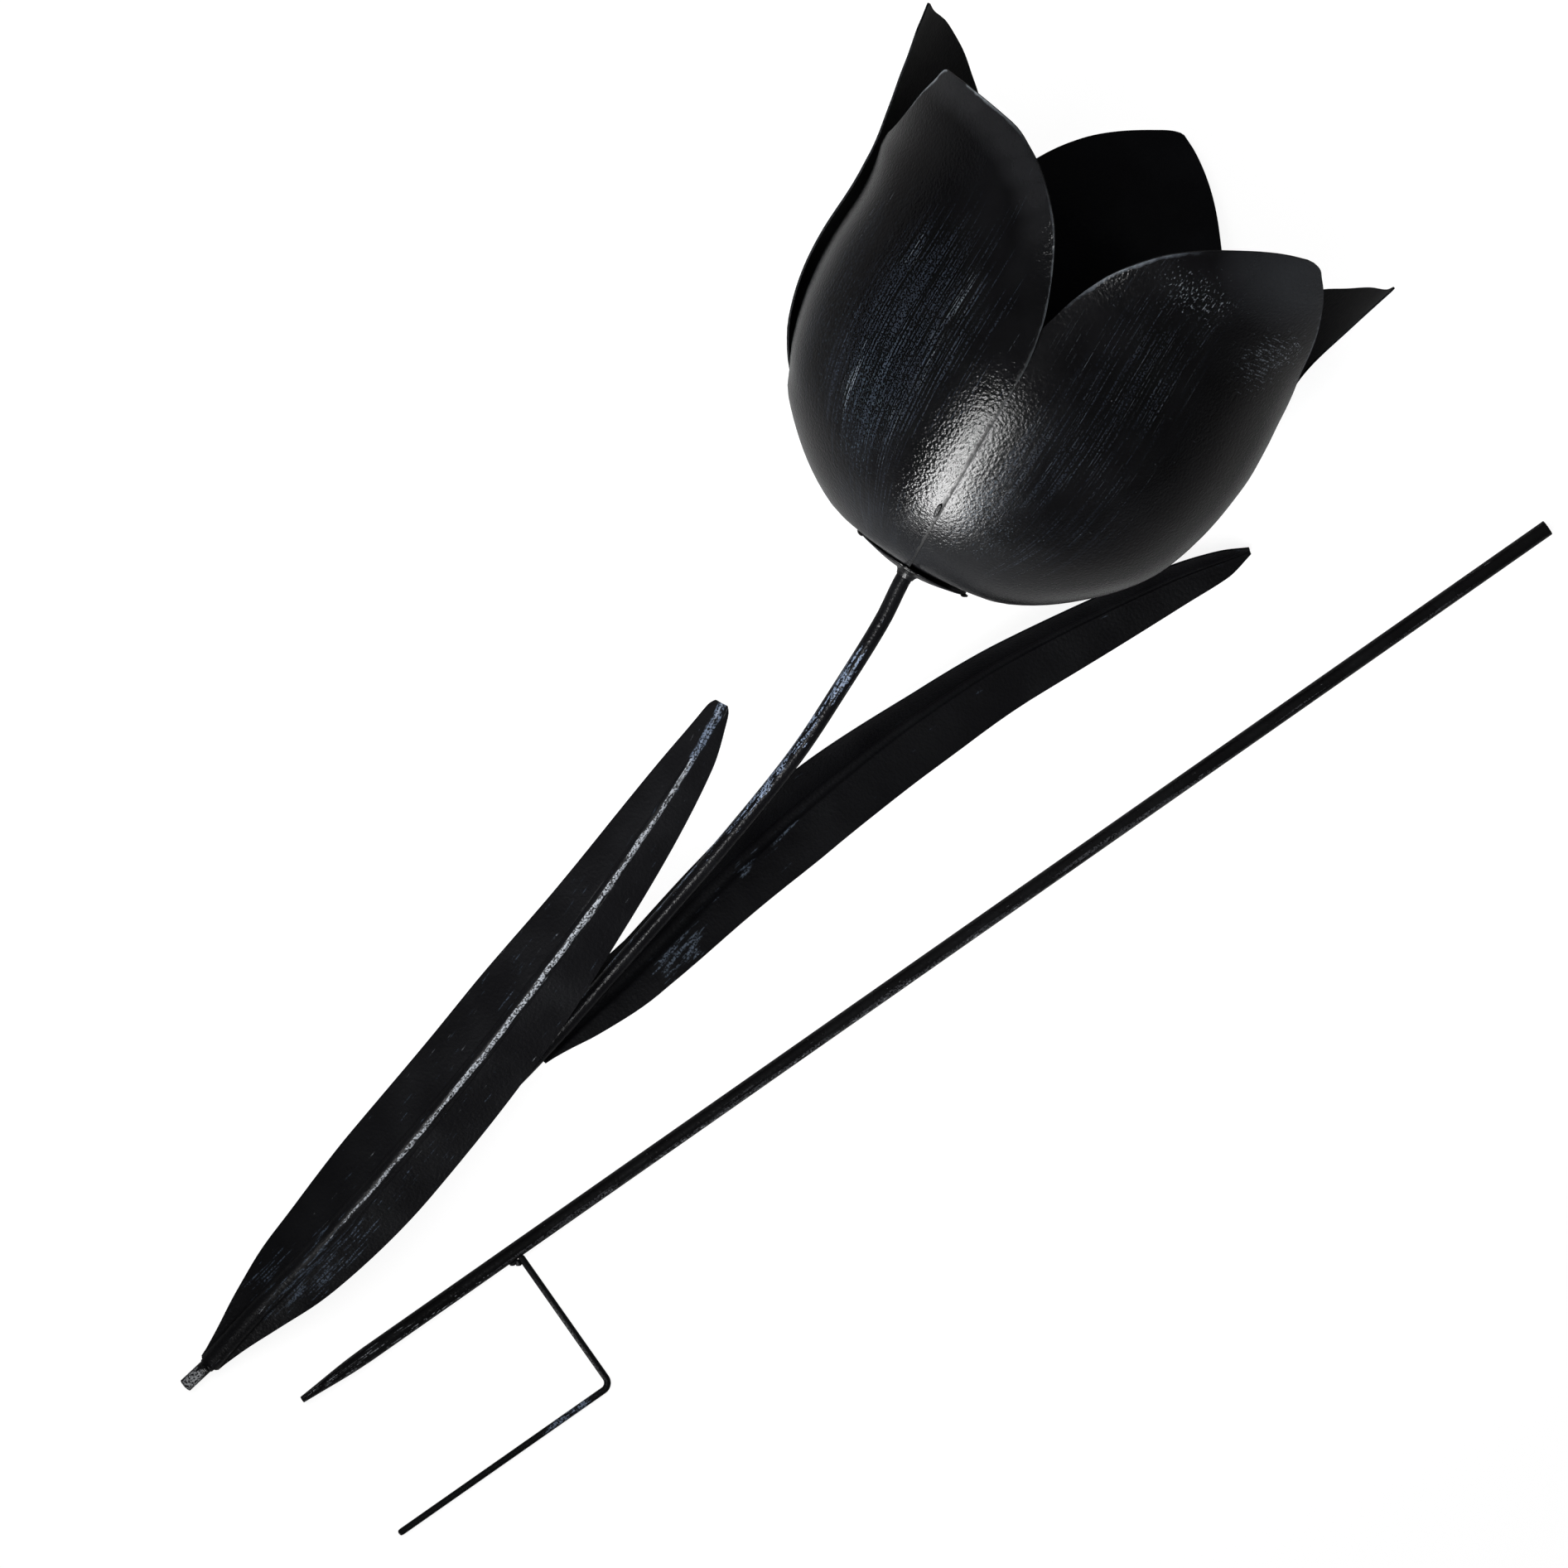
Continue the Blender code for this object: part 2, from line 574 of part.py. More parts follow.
def make_prong(stake):
    """Rod that leaves the stake square to it and turns to run beside it as far as its point."""
    up = Vector((0, 0, 1))
    start = TUBE_RADIUS + SEAT_GAP
    corner = Vector((PRONG_DISTANCE - PRONG_BEND, -(PRONG_OFFSET - PRONG_BEND), 0))
    rings = []
    for share in (0, 0.5):
        centre = Vector((PRONG_DISTANCE, -(start + (PRONG_OFFSET - PRONG_BEND - start) * share), 0))
        rings.append(ring(centre, Vector((1, 0, 0)), up, ROD_RADIUS, ROD_RADIUS, ROD_SIDES))
    for k in range(6):
        turn = math.radians(90 * k / 5)
        out = Vector((math.cos(turn), -math.sin(turn), 0))
        rings.append(ring(corner + out * PRONG_BEND, out, up, ROD_RADIUS, ROD_RADIUS, ROD_SIDES))
    length = corner.x - PRONG_END
    for share, radius in ((0.5, ROD_RADIUS), (1 - 0.6 * MM / length, ROD_RADIUS), (1, ROD_RADIUS * 0.7)):
        centre = Vector((corner.x - length * share, -PRONG_OFFSET, 0))
        rings.append(ring(centre, Vector((0, -1, 0)), up, radius, radius, ROD_SIDES))
    steel = paint("black_painted_prong", (0.02, 0.02, 0.022), 0.35, 0.0)
    bar_piece("prong_rod", rings, steel, stake)

    weld = paint("painted_prong_weld", (0.03, 0.03, 0.033), 0.3, 0.0)
    centre = Vector((
        PRONG_DISTANCE - ROD_RADIUS - SEAT_GAP - PRONG_WELD_HALF[0],
        -(TUBE_RADIUS + SEAT_GAP + PRONG_WELD_HALF[1]),
        0,
    ))
    bead_piece("prong_weld", Matrix.Translation(centre), PRONG_WELD_HALF, weld, stake)


def lowest(item, turned):
    """Lowest world height of an object's finished mesh once its frame is turned."""
    finished = item.evaluated_get(bpy.context.evaluated_depsgraph_get())
    return min((turned @ vertex.co).z for vertex in finished.data.vertices)


def laid_frame(tilt, roll):
    """Turn that lays the flower on its back: Z along the floor and up by the tilt, Y upwards."""
    heading = math.radians(BLOOM_HEADING)
    rise = math.radians(tilt)
    axis = Vector((math.cos(heading) * math.cos(rise), math.sin(heading) * math.cos(rise), math.sin(rise)))
    left = Vector((-math.sin(heading), math.cos(heading), 0))
    front = axis.cross(left)
    matrix = Matrix((left, front, axis)).transposed()
    return matrix @ Matrix.Rotation(math.radians(roll), 3, "Z")


def solve(error, low, high):
    """Value between low and high where a falling error crosses nothing."""
    for _ in range(30):
        middle = (low + high) / 2
        if error(middle) > 0:
            low = middle
        else:
            high = middle
    return (low + high) / 2


def lay_down_flower(flower):
    """Tilts and rolls the flower until stem, back petal and right leaf all reach the floor."""
    bpy.context.view_layer.update()
    stem = bpy.data.objects["stem_tube"]
    petal = bpy.data.objects["petal_back"]
    leaf = bpy.data.objects["leaf_right"]
    tilt = FIRST_TILT
    roll = 0.0
    for _ in range(4):
        tilt = solve(lambda t: lowest(stem, laid_frame(t, roll)) - lowest(petal, laid_frame(t, roll)), 0, 25)
        roll = solve(lambda r: lowest(petal, laid_frame(tilt, r)) - lowest(leaf, laid_frame(tilt, r)), 20, -20)
    turned = laid_frame(tilt, roll)
    flower.matrix_basis = turned.to_4x4()
    height = -min(lowest(piece, turned) for piece in (stem, petal, leaf))
    flower.location = (CUP_FROM_POINT_X, CUP_FROM_POINT_Y, height)
    print("flower tilt", round(tilt, 3), "roll", round(roll, 3), "cup height", round(height / MM, 2), "mm")


def lay_down_stake(stake):
    """Rolls the stake until tube and prong both lie on the floor."""
    roll = math.asin((TUBE_RADIUS - ROD_RADIUS) / PRONG_OFFSET)
    stake.rotation_euler = (roll, 0, 0)
    stake.location = (0, 0, TUBE_RADIUS)


def centre_on_floor(layout):
    """Moves everything so that the middle of its box stands on the origin."""
    bpy.context.view_layer.update()
    depsgraph = bpy.context.evaluated_depsgraph_get()
    corners = []
    for item in bpy.data.objects:
        if item.type == "MESH":
            finished = item.evaluated_get(depsgraph)
            corners += [finished.matrix_world @ vertex.co for vertex in finished.data.vertices]
    low = [min(point[i] for point in corners) for i in range(3)]
    high = [max(point[i] for point in corners) for i in range(3)]
    layout.location = (-(low[0] + high[0]) / 2, -(low[1] + high[1]) / 2, -low[2])
    print("box in mm", [round((b - a) / MM, 1) for a, b in zip(low, high)])
    print("stake's point at", [round(value, 5) for value in layout.location])


def empty(name, parent):
    item = bpy.data.objects.new(name, None)
    item.parent = parent
    bpy.context.scene.collection.objects.link(item)
    return item


def main():
    clear_scene()
    layout = empty("layout", None)
    flower = empty("flower_half", layout)
    stake = empty("stake_half", layout)
    profile = Profile(PETAL_PROFILE)
    make_bloom(profile, flower)
    make_cup(profile, flower)
    make_stem(flower)
    make_leaves(flower)
    make_stake(stake)
    make_prong(stake)
    lay_down_flower(flower)
    lay_down_stake(stake)
    centre_on_floor(layout)


main()
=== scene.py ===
# %% [markdown]
# # Metal tulip garden stake
# The real object is a flower for a garden bed, pressed and welded from thin steel sheet and tube and
# painted black. It lies on the floor in its two halves, the flower and the ground stake, and the
# camera looks straight down on them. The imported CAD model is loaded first. It stays as it is, in
# metres, and every piece below is a finer skin that lies exactly where its CAD piece lies.

# %% Load the frame
import math

import bmesh
import bpy
from mathutils import Matrix, Vector, kdtree, noise


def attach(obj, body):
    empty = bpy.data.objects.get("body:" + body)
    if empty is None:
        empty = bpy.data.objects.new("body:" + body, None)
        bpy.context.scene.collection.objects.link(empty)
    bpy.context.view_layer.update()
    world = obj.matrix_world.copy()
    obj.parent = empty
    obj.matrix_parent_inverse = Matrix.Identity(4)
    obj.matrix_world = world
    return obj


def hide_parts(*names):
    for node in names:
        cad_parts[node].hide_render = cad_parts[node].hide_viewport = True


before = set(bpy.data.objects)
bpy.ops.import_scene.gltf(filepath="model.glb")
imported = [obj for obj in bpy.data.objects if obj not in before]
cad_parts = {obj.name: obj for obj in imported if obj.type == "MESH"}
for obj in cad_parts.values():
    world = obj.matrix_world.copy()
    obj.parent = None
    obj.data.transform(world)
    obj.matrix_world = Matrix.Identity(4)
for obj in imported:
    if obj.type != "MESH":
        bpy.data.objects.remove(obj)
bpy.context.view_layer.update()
MM = 0.001
print("CAD nodes:", len(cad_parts))

# %% [markdown]
# ## Camera
# The photograph looks straight down from far away, so a long lens is used. The camera hangs 3 m over
# the middle of the picture and is turned so that the stake runs down to the left, as photographed. The
# lens follows from the width of floor that the picture shows.

# %% Camera
CAMERA_HEIGHT = 3.0
VIEW_MIDDLE = (0.01285, -0.02868)
VIEW_WIDTH = 0.6298
VIEW_TURN = -35.0
SENSOR_MM = 36.0

lens = bpy.data.cameras.new("camera")
lens.sensor_width = SENSOR_MM
lens.lens = SENSOR_MM * CAMERA_HEIGHT / VIEW_WIDTH
# The floor reaches tens of metres out, and a low view sees it to its end.
lens.clip_end = 100
camera = bpy.data.objects.new("camera", lens)
camera.location = (*VIEW_MIDDLE, CAMERA_HEIGHT)
camera.rotation_euler = (0, 0, math.radians(VIEW_TURN))
bpy.context.scene.collection.objects.link(camera)
bpy.context.scene.camera = camera
print("lens in mm:", round(lens.lens, 1))

# %% [markdown]
# ## Where the two halves lie
# The flower was drawn upright, with X to its left, Y to its front and Z up its stem, and was then laid
# on its back. One matrix says the same here, so each piece of the flower can be shaped upright and
# moved down by that matrix. The stake is drawn with its point at the start of X.

# %% Frames of the two halves
CUP_PLACE = (0.10385, 0.01334, 0.07911)
BLOOM_HEADING = math.radians(23.95)
FLOWER_TILT = math.radians(10.138)
FLOWER_ROLL = math.radians(0.48)
STAKE_POINT = (-0.28715, -0.12016, 0.00325)
STAKE_ROLL = math.radians(1.5966)


def laid_flower():
    """Matrix from the upright flower to where it lies."""
    flat = math.cos(FLOWER_TILT)
    axis = Vector((math.cos(BLOOM_HEADING) * flat, math.sin(BLOOM_HEADING) * flat, math.sin(FLOWER_TILT)))
    left = Vector((-math.sin(BLOOM_HEADING), math.cos(BLOOM_HEADING), 0))
    turned = Matrix((left, axis.cross(left), axis)).transposed()
    turned = (turned @ Matrix.Rotation(FLOWER_ROLL, 3, "Z")).to_4x4()
    return Matrix.Translation(CUP_PLACE) @ turned


FLOWER = laid_flower()
STAKE = Matrix.Translation(STAKE_POINT) @ Matrix.Rotation(STAKE_ROLL, 4, "X")
print("cup's middle in mm:", [round(value / MM, 1) for value in FLOWER.translation])

# %% [markdown]
# ## Smooth curves
# Sheet metal bends in smooth lines, so its sizes are read from curves through a few points. One
# function gives a point on a path and the other a value that never swings past the given ones.

# %% Curves through a few points
def curve_between(a, b, slope_a, slope_b, u):
    """Point u of the way from a to b, leaving and arriving along the two slopes."""
    start = a * (2 * u**3 - 3 * u**2 + 1) + slope_a * (u**3 - 2 * u**2 + u)
    end = b * (3 * u**2 - 2 * u**3) + slope_b * (u**3 - u**2)
    return start + end


def stretch(knots, x):
    """Number of the stretch between two knots that x lies in."""
    i = 0
    while i < len(knots) - 2 and x > knots[i + 1]:
        i += 1
    return i


def path_point(points, share):
    """Point on a smooth path, share 0 to 1 of the way by chord length."""
    knots = [0.0]
    for a, b in zip(points, points[1:]):
        knots.append(knots[-1] + (Vector(b) - Vector(a)).length)
    where = share * knots[-1]
    slopes = []
    for i in range(len(points)):
        low = max(i - 1, 0)
        high = min(i + 1, len(points) - 1)
        slopes.append((Vector(points[high]) - Vector(points[low])) / (knots[high] - knots[low]))
    i = stretch(knots, where)
    span = knots[i + 1] - knots[i]
    u = (where - knots[i]) / span
    return curve_between(Vector(points[i]), Vector(points[i + 1]), slopes[i] * span, slopes[i + 1] * span, u)


def value_at(pairs, x):
    """Value at x on a curve through (x, value) pairs that stays between them."""
    steps = [b[0] - a[0] for a, b in zip(pairs, pairs[1:])]
    slopes = [(b[1] - a[1]) / (b[0] - a[0]) for a, b in zip(pairs, pairs[1:])]
    bends = [slopes[0]]
    for before, after in zip(slopes, slopes[1:]):
        bends.append(2 * before * after / (before + after) if before * after > 0 else 0.0)
    bends.append(slopes[-1])
    x = min(max(x, pairs[0][0]), pairs[-1][0])
    i = stretch([pair[0] for pair in pairs], x)
    u = (x - pairs[i][0]) / steps[i]
    return curve_between(pairs[i][1], pairs[i + 1][1], bends[i] * steps[i], bends[i + 1] * steps[i], u)


# %% [markdown]
# ## Shaping sheet metal
# A petal, a leaf and a tube all start as a flat blank of sheet. Here too: a flat grid is made, every
# vertex is moved to its place on the bent sheet, and a tube's two edges are welded by merging them. The
# blank's own millimetres are kept as a UV map, so brush strokes can follow the metal later.

# %% Bending a flat grid
PAINT_MAP = "paint_mm"
EDGE_MAP = "from_edge_mm"
# A sheet without worn rims counts as far from its edge.
FAR_FROM_EDGE = [50]
SEAM_MERGE = 0.002 * MM
SHARP_ANGLE = math.radians(50)
RIM_ANGLE = math.radians(60)


def bend_grid(columns, rows, spot):
    """Grid bent by spot(across, along): a place, the blank's mm and, with worn rims, the mm to its edge."""
    bm = bmesh.new()
    flat_layer = bm.loops.layers.uv.new(PAINT_MAP)
    edge_layer = bm.loops.layers.uv.new(EDGE_MAP)
    bmesh.ops.create_grid(bm, x_segments=columns, y_segments=rows, size=0.5)
    for vertex in bm.verts:
        place, on_blank, *from_edge = spot(vertex.co.x + 0.5, vertex.co.y + 0.5)
        for loop in vertex.link_loops:
            loop[flat_layer].uv = on_blank
            loop[edge_layer].uv = (*(from_edge or FAR_FROM_EDGE), 0)
        vertex.co = place
    return bm


def face_away_from(bm, inside):
    """Turns an open sheet so that its faces look away from the point inside."""
    bm.normal_update()
    votes = sum(face.normal.dot(face.calc_center_median() - inside) for face in bm.faces)
    if votes < 0:
        bmesh.ops.reverse_faces(bm, faces=bm.faces)


def close_seams(bm):
    """Merges the edges that meet in a rolled sheet's seams and turns its faces outwards."""
    bmesh.ops.remove_doubles(bm, verts=bm.verts, dist=SEAM_MERGE)
    bmesh.ops.recalc_face_normals(bm, faces=bm.faces)


def finish_piece(name, bm, node, body, materials):
    """Makes the bmesh a smooth object that rides on its body and stands for its CAD node."""
    mesh = bpy.data.meshes.new(name)
    bm.to_mesh(mesh)
    bm.free()
    mesh.shade_smooth()
    mesh.set_sharp_from_angle(angle=SHARP_ANGLE)
    piece = bpy.data.objects.new(name, mesh)
    for material in materials:
        mesh.materials.append(material)
    bpy.context.scene.collection.objects.link(piece)
    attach(piece, body)
    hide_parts(node)
    print(name, "faces:", len(mesh.polygons))
    return piece


def thicken(piece, thickness, offset, rim):
    """Gives a sheet its thickness and breaks its cut edges."""
    wall = piece.modifiers.new("sheet", "SOLIDIFY")
    wall.thickness = thickness
    wall.offset = offset
    wall.material_offset = 1
    wall.material_offset_rim = 2
    edge = piece.modifiers.new("broken_edge", "BEVEL")
    edge.width = rim
    edge.segments = 2
    edge.limit_method = "ANGLE"
    edge.angle_limit = RIM_ANGLE
    edge.harden_normals = True


# %% [markdown]
# ## Paint
# The whole ornament is sprayed with black enamel, which dries to a fine pebbled skin that painters call
# orange peel. Some pieces were then dry brushed: a nearly dry brush of blue-grey paint was dragged
# along the metal, so it only caught the peaks of the peel and left broken streaks. The helpers here
# turn a written colour to Blender's own scale and add a node with its values and links.

# %% Colours and nodes
VECTOR = "ShaderNodeVectorMath"
NOISE = "ShaderNodeTexNoise"


def from_hex(text):
    """Linear colour for Blender from an sRGB hex value."""
    channels = [int(text[i:i + 2], 16) / 255 for i in (1, 3, 5)]
    linear = [c / 12.92 if c <= 0.04045 else ((c + 0.055) / 1.055) ** 2.4 for c in channels]
    return (*linear, 1.0)


def add_node(material, kind, inputs, **settings):
    """Adds a node with its settings. An input takes a value, a socket, or a node for its output in use."""
    node = material.node_tree.nodes.new(kind)
    for name, value in settings.items():
        setattr(node, name, value)
    for name, value in inputs.items():
        if isinstance(value, bpy.types.Node):
            value = next(socket for socket in value.outputs if socket.enabled)
        if isinstance(value, bpy.types.NodeSocket):
            material.node_tree.links.new(value, node.inputs[name])
        else:
            node.inputs[name].default_value = value
    return node


def calc(material, operation, *inputs):
    """Adds a math node on values, sockets or nodes."""
    return add_node(material, "ShaderNodeMath", dict(enumerate(inputs)), operation=operation)


def ramp(material, value, band, high, low=0.0):
    """Adds a range that is low up to the band's first end and high from its second end on."""
    return add_node(material, "ShaderNodeMapRange", {0: value, 1: band[0], 2: band[1], 3: low, 4: high})


# %% [markdown]
# ## Orange peel and brush marks
# The peel is a noise that drives the bump, and a finer one decides where a dry brush leaves paint. A
# brush mark is a noise stretched along the sheet and cut off sharply, and a painted highlight is drawn
# the same way. Soft ovals say where the paint and the painted highlights lie: the stronger the oval,
# the more of the noise passes the cut.

# %% Paint patterns
# Real orange peel has grains of about 0.5 mm. They are drawn at 1.3 mm, as this picture would lose them.
PEEL_MM = 1.3
PEEL_HEIGHT = 0.2 * MM
PAINT_GRAIN_MM = 0.75
# From the oval's edge inwards, as shares of its half sizes
OVAL_FADE = (1.0, 0.3)


def peel_grain(material, grain_mm):
    """Noise of the pebbled paint, in the object's own millimetres."""
    place = add_node(material, "ShaderNodeTexCoord", {}).outputs["Object"]
    return add_node(material, NOISE, {"Vector": place, "Scale": 1 / (grain_mm * MM), "Detail": 2.0})


def drawn_out(material, flat, across_mm, along_mm, shift):
    """Noise stretched along the sheet, read from the blank's millimetres."""
    place = add_node(material, "ShaderNodeMapping", {
        "Vector": flat, "Scale": (1 / across_mm, 1 / along_mm, 1), "Location": (shift, shift, 0)})
    return add_node(material, NOISE, {"Vector": place, "Scale": 1.0, "Detail": 2.0}, noise_dimensions="2D")


def soft_ovals(material, flat, ovals):
    """Strongest of several ovals (u, v, half u, half v, strength), each fading to 0 at its edge."""
    strongest = 0.0
    for u, v, half_u, half_v, strength in ovals:
        offset = add_node(material, VECTOR, {0: flat, 1: (u, v, 0)}, operation="SUBTRACT")
        scaled = add_node(material, VECTOR, {0: offset, 1: (half_u, half_v, 1)}, operation="DIVIDE")
        reach = add_node(material, VECTOR, {0: scaled}, operation="LENGTH")
        oval = ramp(material, reach, OVAL_FADE, strength)
        strongest = calc(material, "MAXIMUM", strongest, oval)
    return strongest


# %% [markdown]
# ## Enamel
# Every piece has the same black enamel, with layers of brush marks on top where it was brushed. A layer
# has the size of its marks, how thick the paint lies, its colour and its ovals. On the leaf's crest,
# the stem's necked end and the stake, a layer also paints a highlight or reflection. A worn rim is a
# layer too: it shows only within a millimetre or two of the sheet's edge, and is matt, so a black one is
# a painted shadow line along a seam. A veil is painted sheen: a thin grey mist that stands in for a soft
# reflection, has no marks of its own and fades at its ovals' edges. All of these are coats, laid over
# the black one after the other.

# %% Enamel
# Faint dust, a few centimetres wide, keeps the black and its gloss from looking even.
DUST_MM = 24
DUST_BAND = (0.4, 0.8)
DUST_COVER = 0.008
DUST_GREY = "#8a8f96"
GLOSS_BAND = (0.3, 0.7)
GLOSS_SWING = (-0.03, 0.05)
# The brush leaves paint on the grains whose noise lies above this band.
GRAIN_BAND = (0.42, 0.58)
# An oval lifts the drawn-out noise by its strength times this, and the marks are what passes the band.
OVAL_LIFT = 0.35
MARK_BAND = (0.78, 0.88)
NEXT_LAYER_SHIFT = 13.7
# Wear is as long as it is wide. A UV map read as one number counts a third, so the wear is half gone at
# about two and a half times the width that is given.
WEAR_MM = 4.0
WEAR_UNEVEN = 2
WEAR_BAND = (2.4, 1.2)
# How much rougher brush marks and worn rims are than the enamel.
MARKS_DULL = 0.2
WEAR_DULL = 0.5


def brush_and_painted_light_marks(material, flat, caught, layer, shift):
    """How thick one layer's marks lie: brush marks, and in some layers painted highlights and reflections."""
    across_mm, along_mm, cover, _, ovals = layer
    places = soft_ovals(material, flat, ovals)
    bristles = drawn_out(material, flat, across_mm, along_mm, shift)
    loaded = calc(material, "MULTIPLY_ADD", places, OVAL_LIFT, bristles)
    return calc(material, "MULTIPLY", ramp(material, loaded, MARK_BAND, cover), caught)


def rim_wear_and_seam_shade(material, flat, edge, rim, shift):
    """How strongly one rim layer lies: wear on a light rim, painted seam shadow on a black one."""
    width_mm, cover, _, ovals = rim
    places = soft_ovals(material, flat, ovals)
    uneven = drawn_out(material, flat, WEAR_MM, WEAR_MM, shift)
    worn = calc(material, "MULTIPLY_ADD", uneven, width_mm * WEAR_UNEVEN, edge)
    band = [width_mm * share for share in WEAR_BAND]
    return calc(material, "MULTIPLY", ramp(material, worn, band, cover), places)


def enamel(name, colour, roughness, specular=0.25, layers=(), rims=(), painted_sheens=(), shift=0.0):
    """Black enamel with orange peel, painted sheen, brush marks and painted highlights, worn rims and seam
    shade.
    """
    material = bpy.data.materials.new(name)
    material.use_nodes = True
    shader = material.node_tree.nodes["Principled BSDF"]
    shader.inputs["Specular IOR Level"].default_value = specular
    flat = add_node(material, "ShaderNodeUVMap", {}, uv_map=PAINT_MAP)
    edge = add_node(material, "ShaderNodeUVMap", {}, uv_map=EDGE_MAP)
    fine = peel_grain(material, PAINT_GRAIN_MM)
    caught = ramp(material, fine, GRAIN_BAND, 1.0)
    cloud = peel_grain(material, DUST_MM)
    coats = [(ramp(material, cloud, DUST_BAND, DUST_COVER), DUST_GREY)]
    glossiest, dullest = [roughness + swing for swing in GLOSS_SWING]
    dull = ramp(material, cloud, GLOSS_BAND, dullest, glossiest)
    # Painted sheen: soft grey coats that stand in for reflections.
    for cover, tint, ovals in painted_sheens:
        coats.append((calc(material, "MULTIPLY", soft_ovals(material, flat, ovals), cover), tint))
    thickest = most_worn = 0.0
    for layer in layers:
        shift += NEXT_LAYER_SHIFT
        marks = brush_and_painted_light_marks(material, flat, caught, layer, shift)
        coats.append((marks, layer[3]))
        thickest = calc(material, "MAXIMUM", thickest, marks)
    # Light rims are edge wear, and a black rim is a painted seam shadow.
    for rim in rims:
        marks = rim_wear_and_seam_shade(material, flat, edge, rim, shift)
        coats.append((marks, rim[2]))
        most_worn = calc(material, "MAXIMUM", most_worn, marks)
    paint = from_hex(colour)
    for cover, tint in coats:
        paint = add_node(material, "ShaderNodeMix", {0: cover, 6: paint, 7: from_hex(tint)}, data_type="RGBA")
    for marks, rougher in ((thickest, MARKS_DULL), (most_worn, WEAR_DULL)):
        dull = calc(material, "MULTIPLY_ADD", marks, rougher, dull)
    bump = add_node(material, "ShaderNodeBump", {
        "Height": peel_grain(material, PEEL_MM), "Strength": 1.0, "Distance": PEEL_HEIGHT})
    links = material.node_tree.links
    links.new(paint.outputs[2], shader.inputs["Base Color"])
    links.new(bump.outputs["Normal"], shader.inputs["Normal"])
    links.new(dull.outputs[0], shader.inputs["Roughness"])
    return material


# The inside of the bloom got a thin coat that dried half matt, so it looks deep black.
enamel_inside = enamel("black_enamel_inside", "#08080a", 0.45, specular=0.2)
# The cup was dipped and is smoother and glossier than the petals.
enamel_cup = enamel("black_enamel_cup", "#0a0a0b", 0.28)
# Paint runs thin over a weld's ripples, which gives small sharp glints.
enamel_weld = enamel("black_enamel_over_weld", "#0d0d0e", 0.3)
# Paint pulls back from a sheared edge, so the rims are a shade greyer and duller.
enamel_rim = enamel("black_enamel_cut_edge", "#101113", 0.4, specular=0.15)
print("plain enamels:", [paint.name for paint in (enamel_inside, enamel_cup, enamel_weld, enamel_rim)])

# %% [markdown]
# ## The bloom
# Five pressed petals overlap in a ring. Their shape is a curve turned about the stem's line, so a petal
# is a piece of that turned surface with its own outline, and each inner layer lies one sheet and a
# small gap further in. A petal starts as a grid: its rows run up the curve and its columns spread
# between the outline's left and right edges.

# %% Petal shapes
SHEET = 0.8 * MM
LAP_GAP = 0.5 * MM
TUBE_RADIUS = 3.25 * MM
SEAT_GAP = 0.3 * MM
PETAL_PROFILE = [(TUBE_RADIUS + SEAT_GAP, -2.8 * MM)] + [(radius * MM, height * MM) for radius, height in [
    (12, -1.8), (24, 1.2), (42, 5.5), (63.5, 20), (83, 42), (92, 65), (95.5, 92), (94.5, 122), (95, 142),
    (101, 165), (109, 192)]]
FIRST_ROW = 0.6 * MM
PETAL_GRID = (64, 84)
# Above 1, a petal's rows lie closer together towards its tip.
PETAL_CROWDING = 1.8
RING_RADIUS_MM = 95

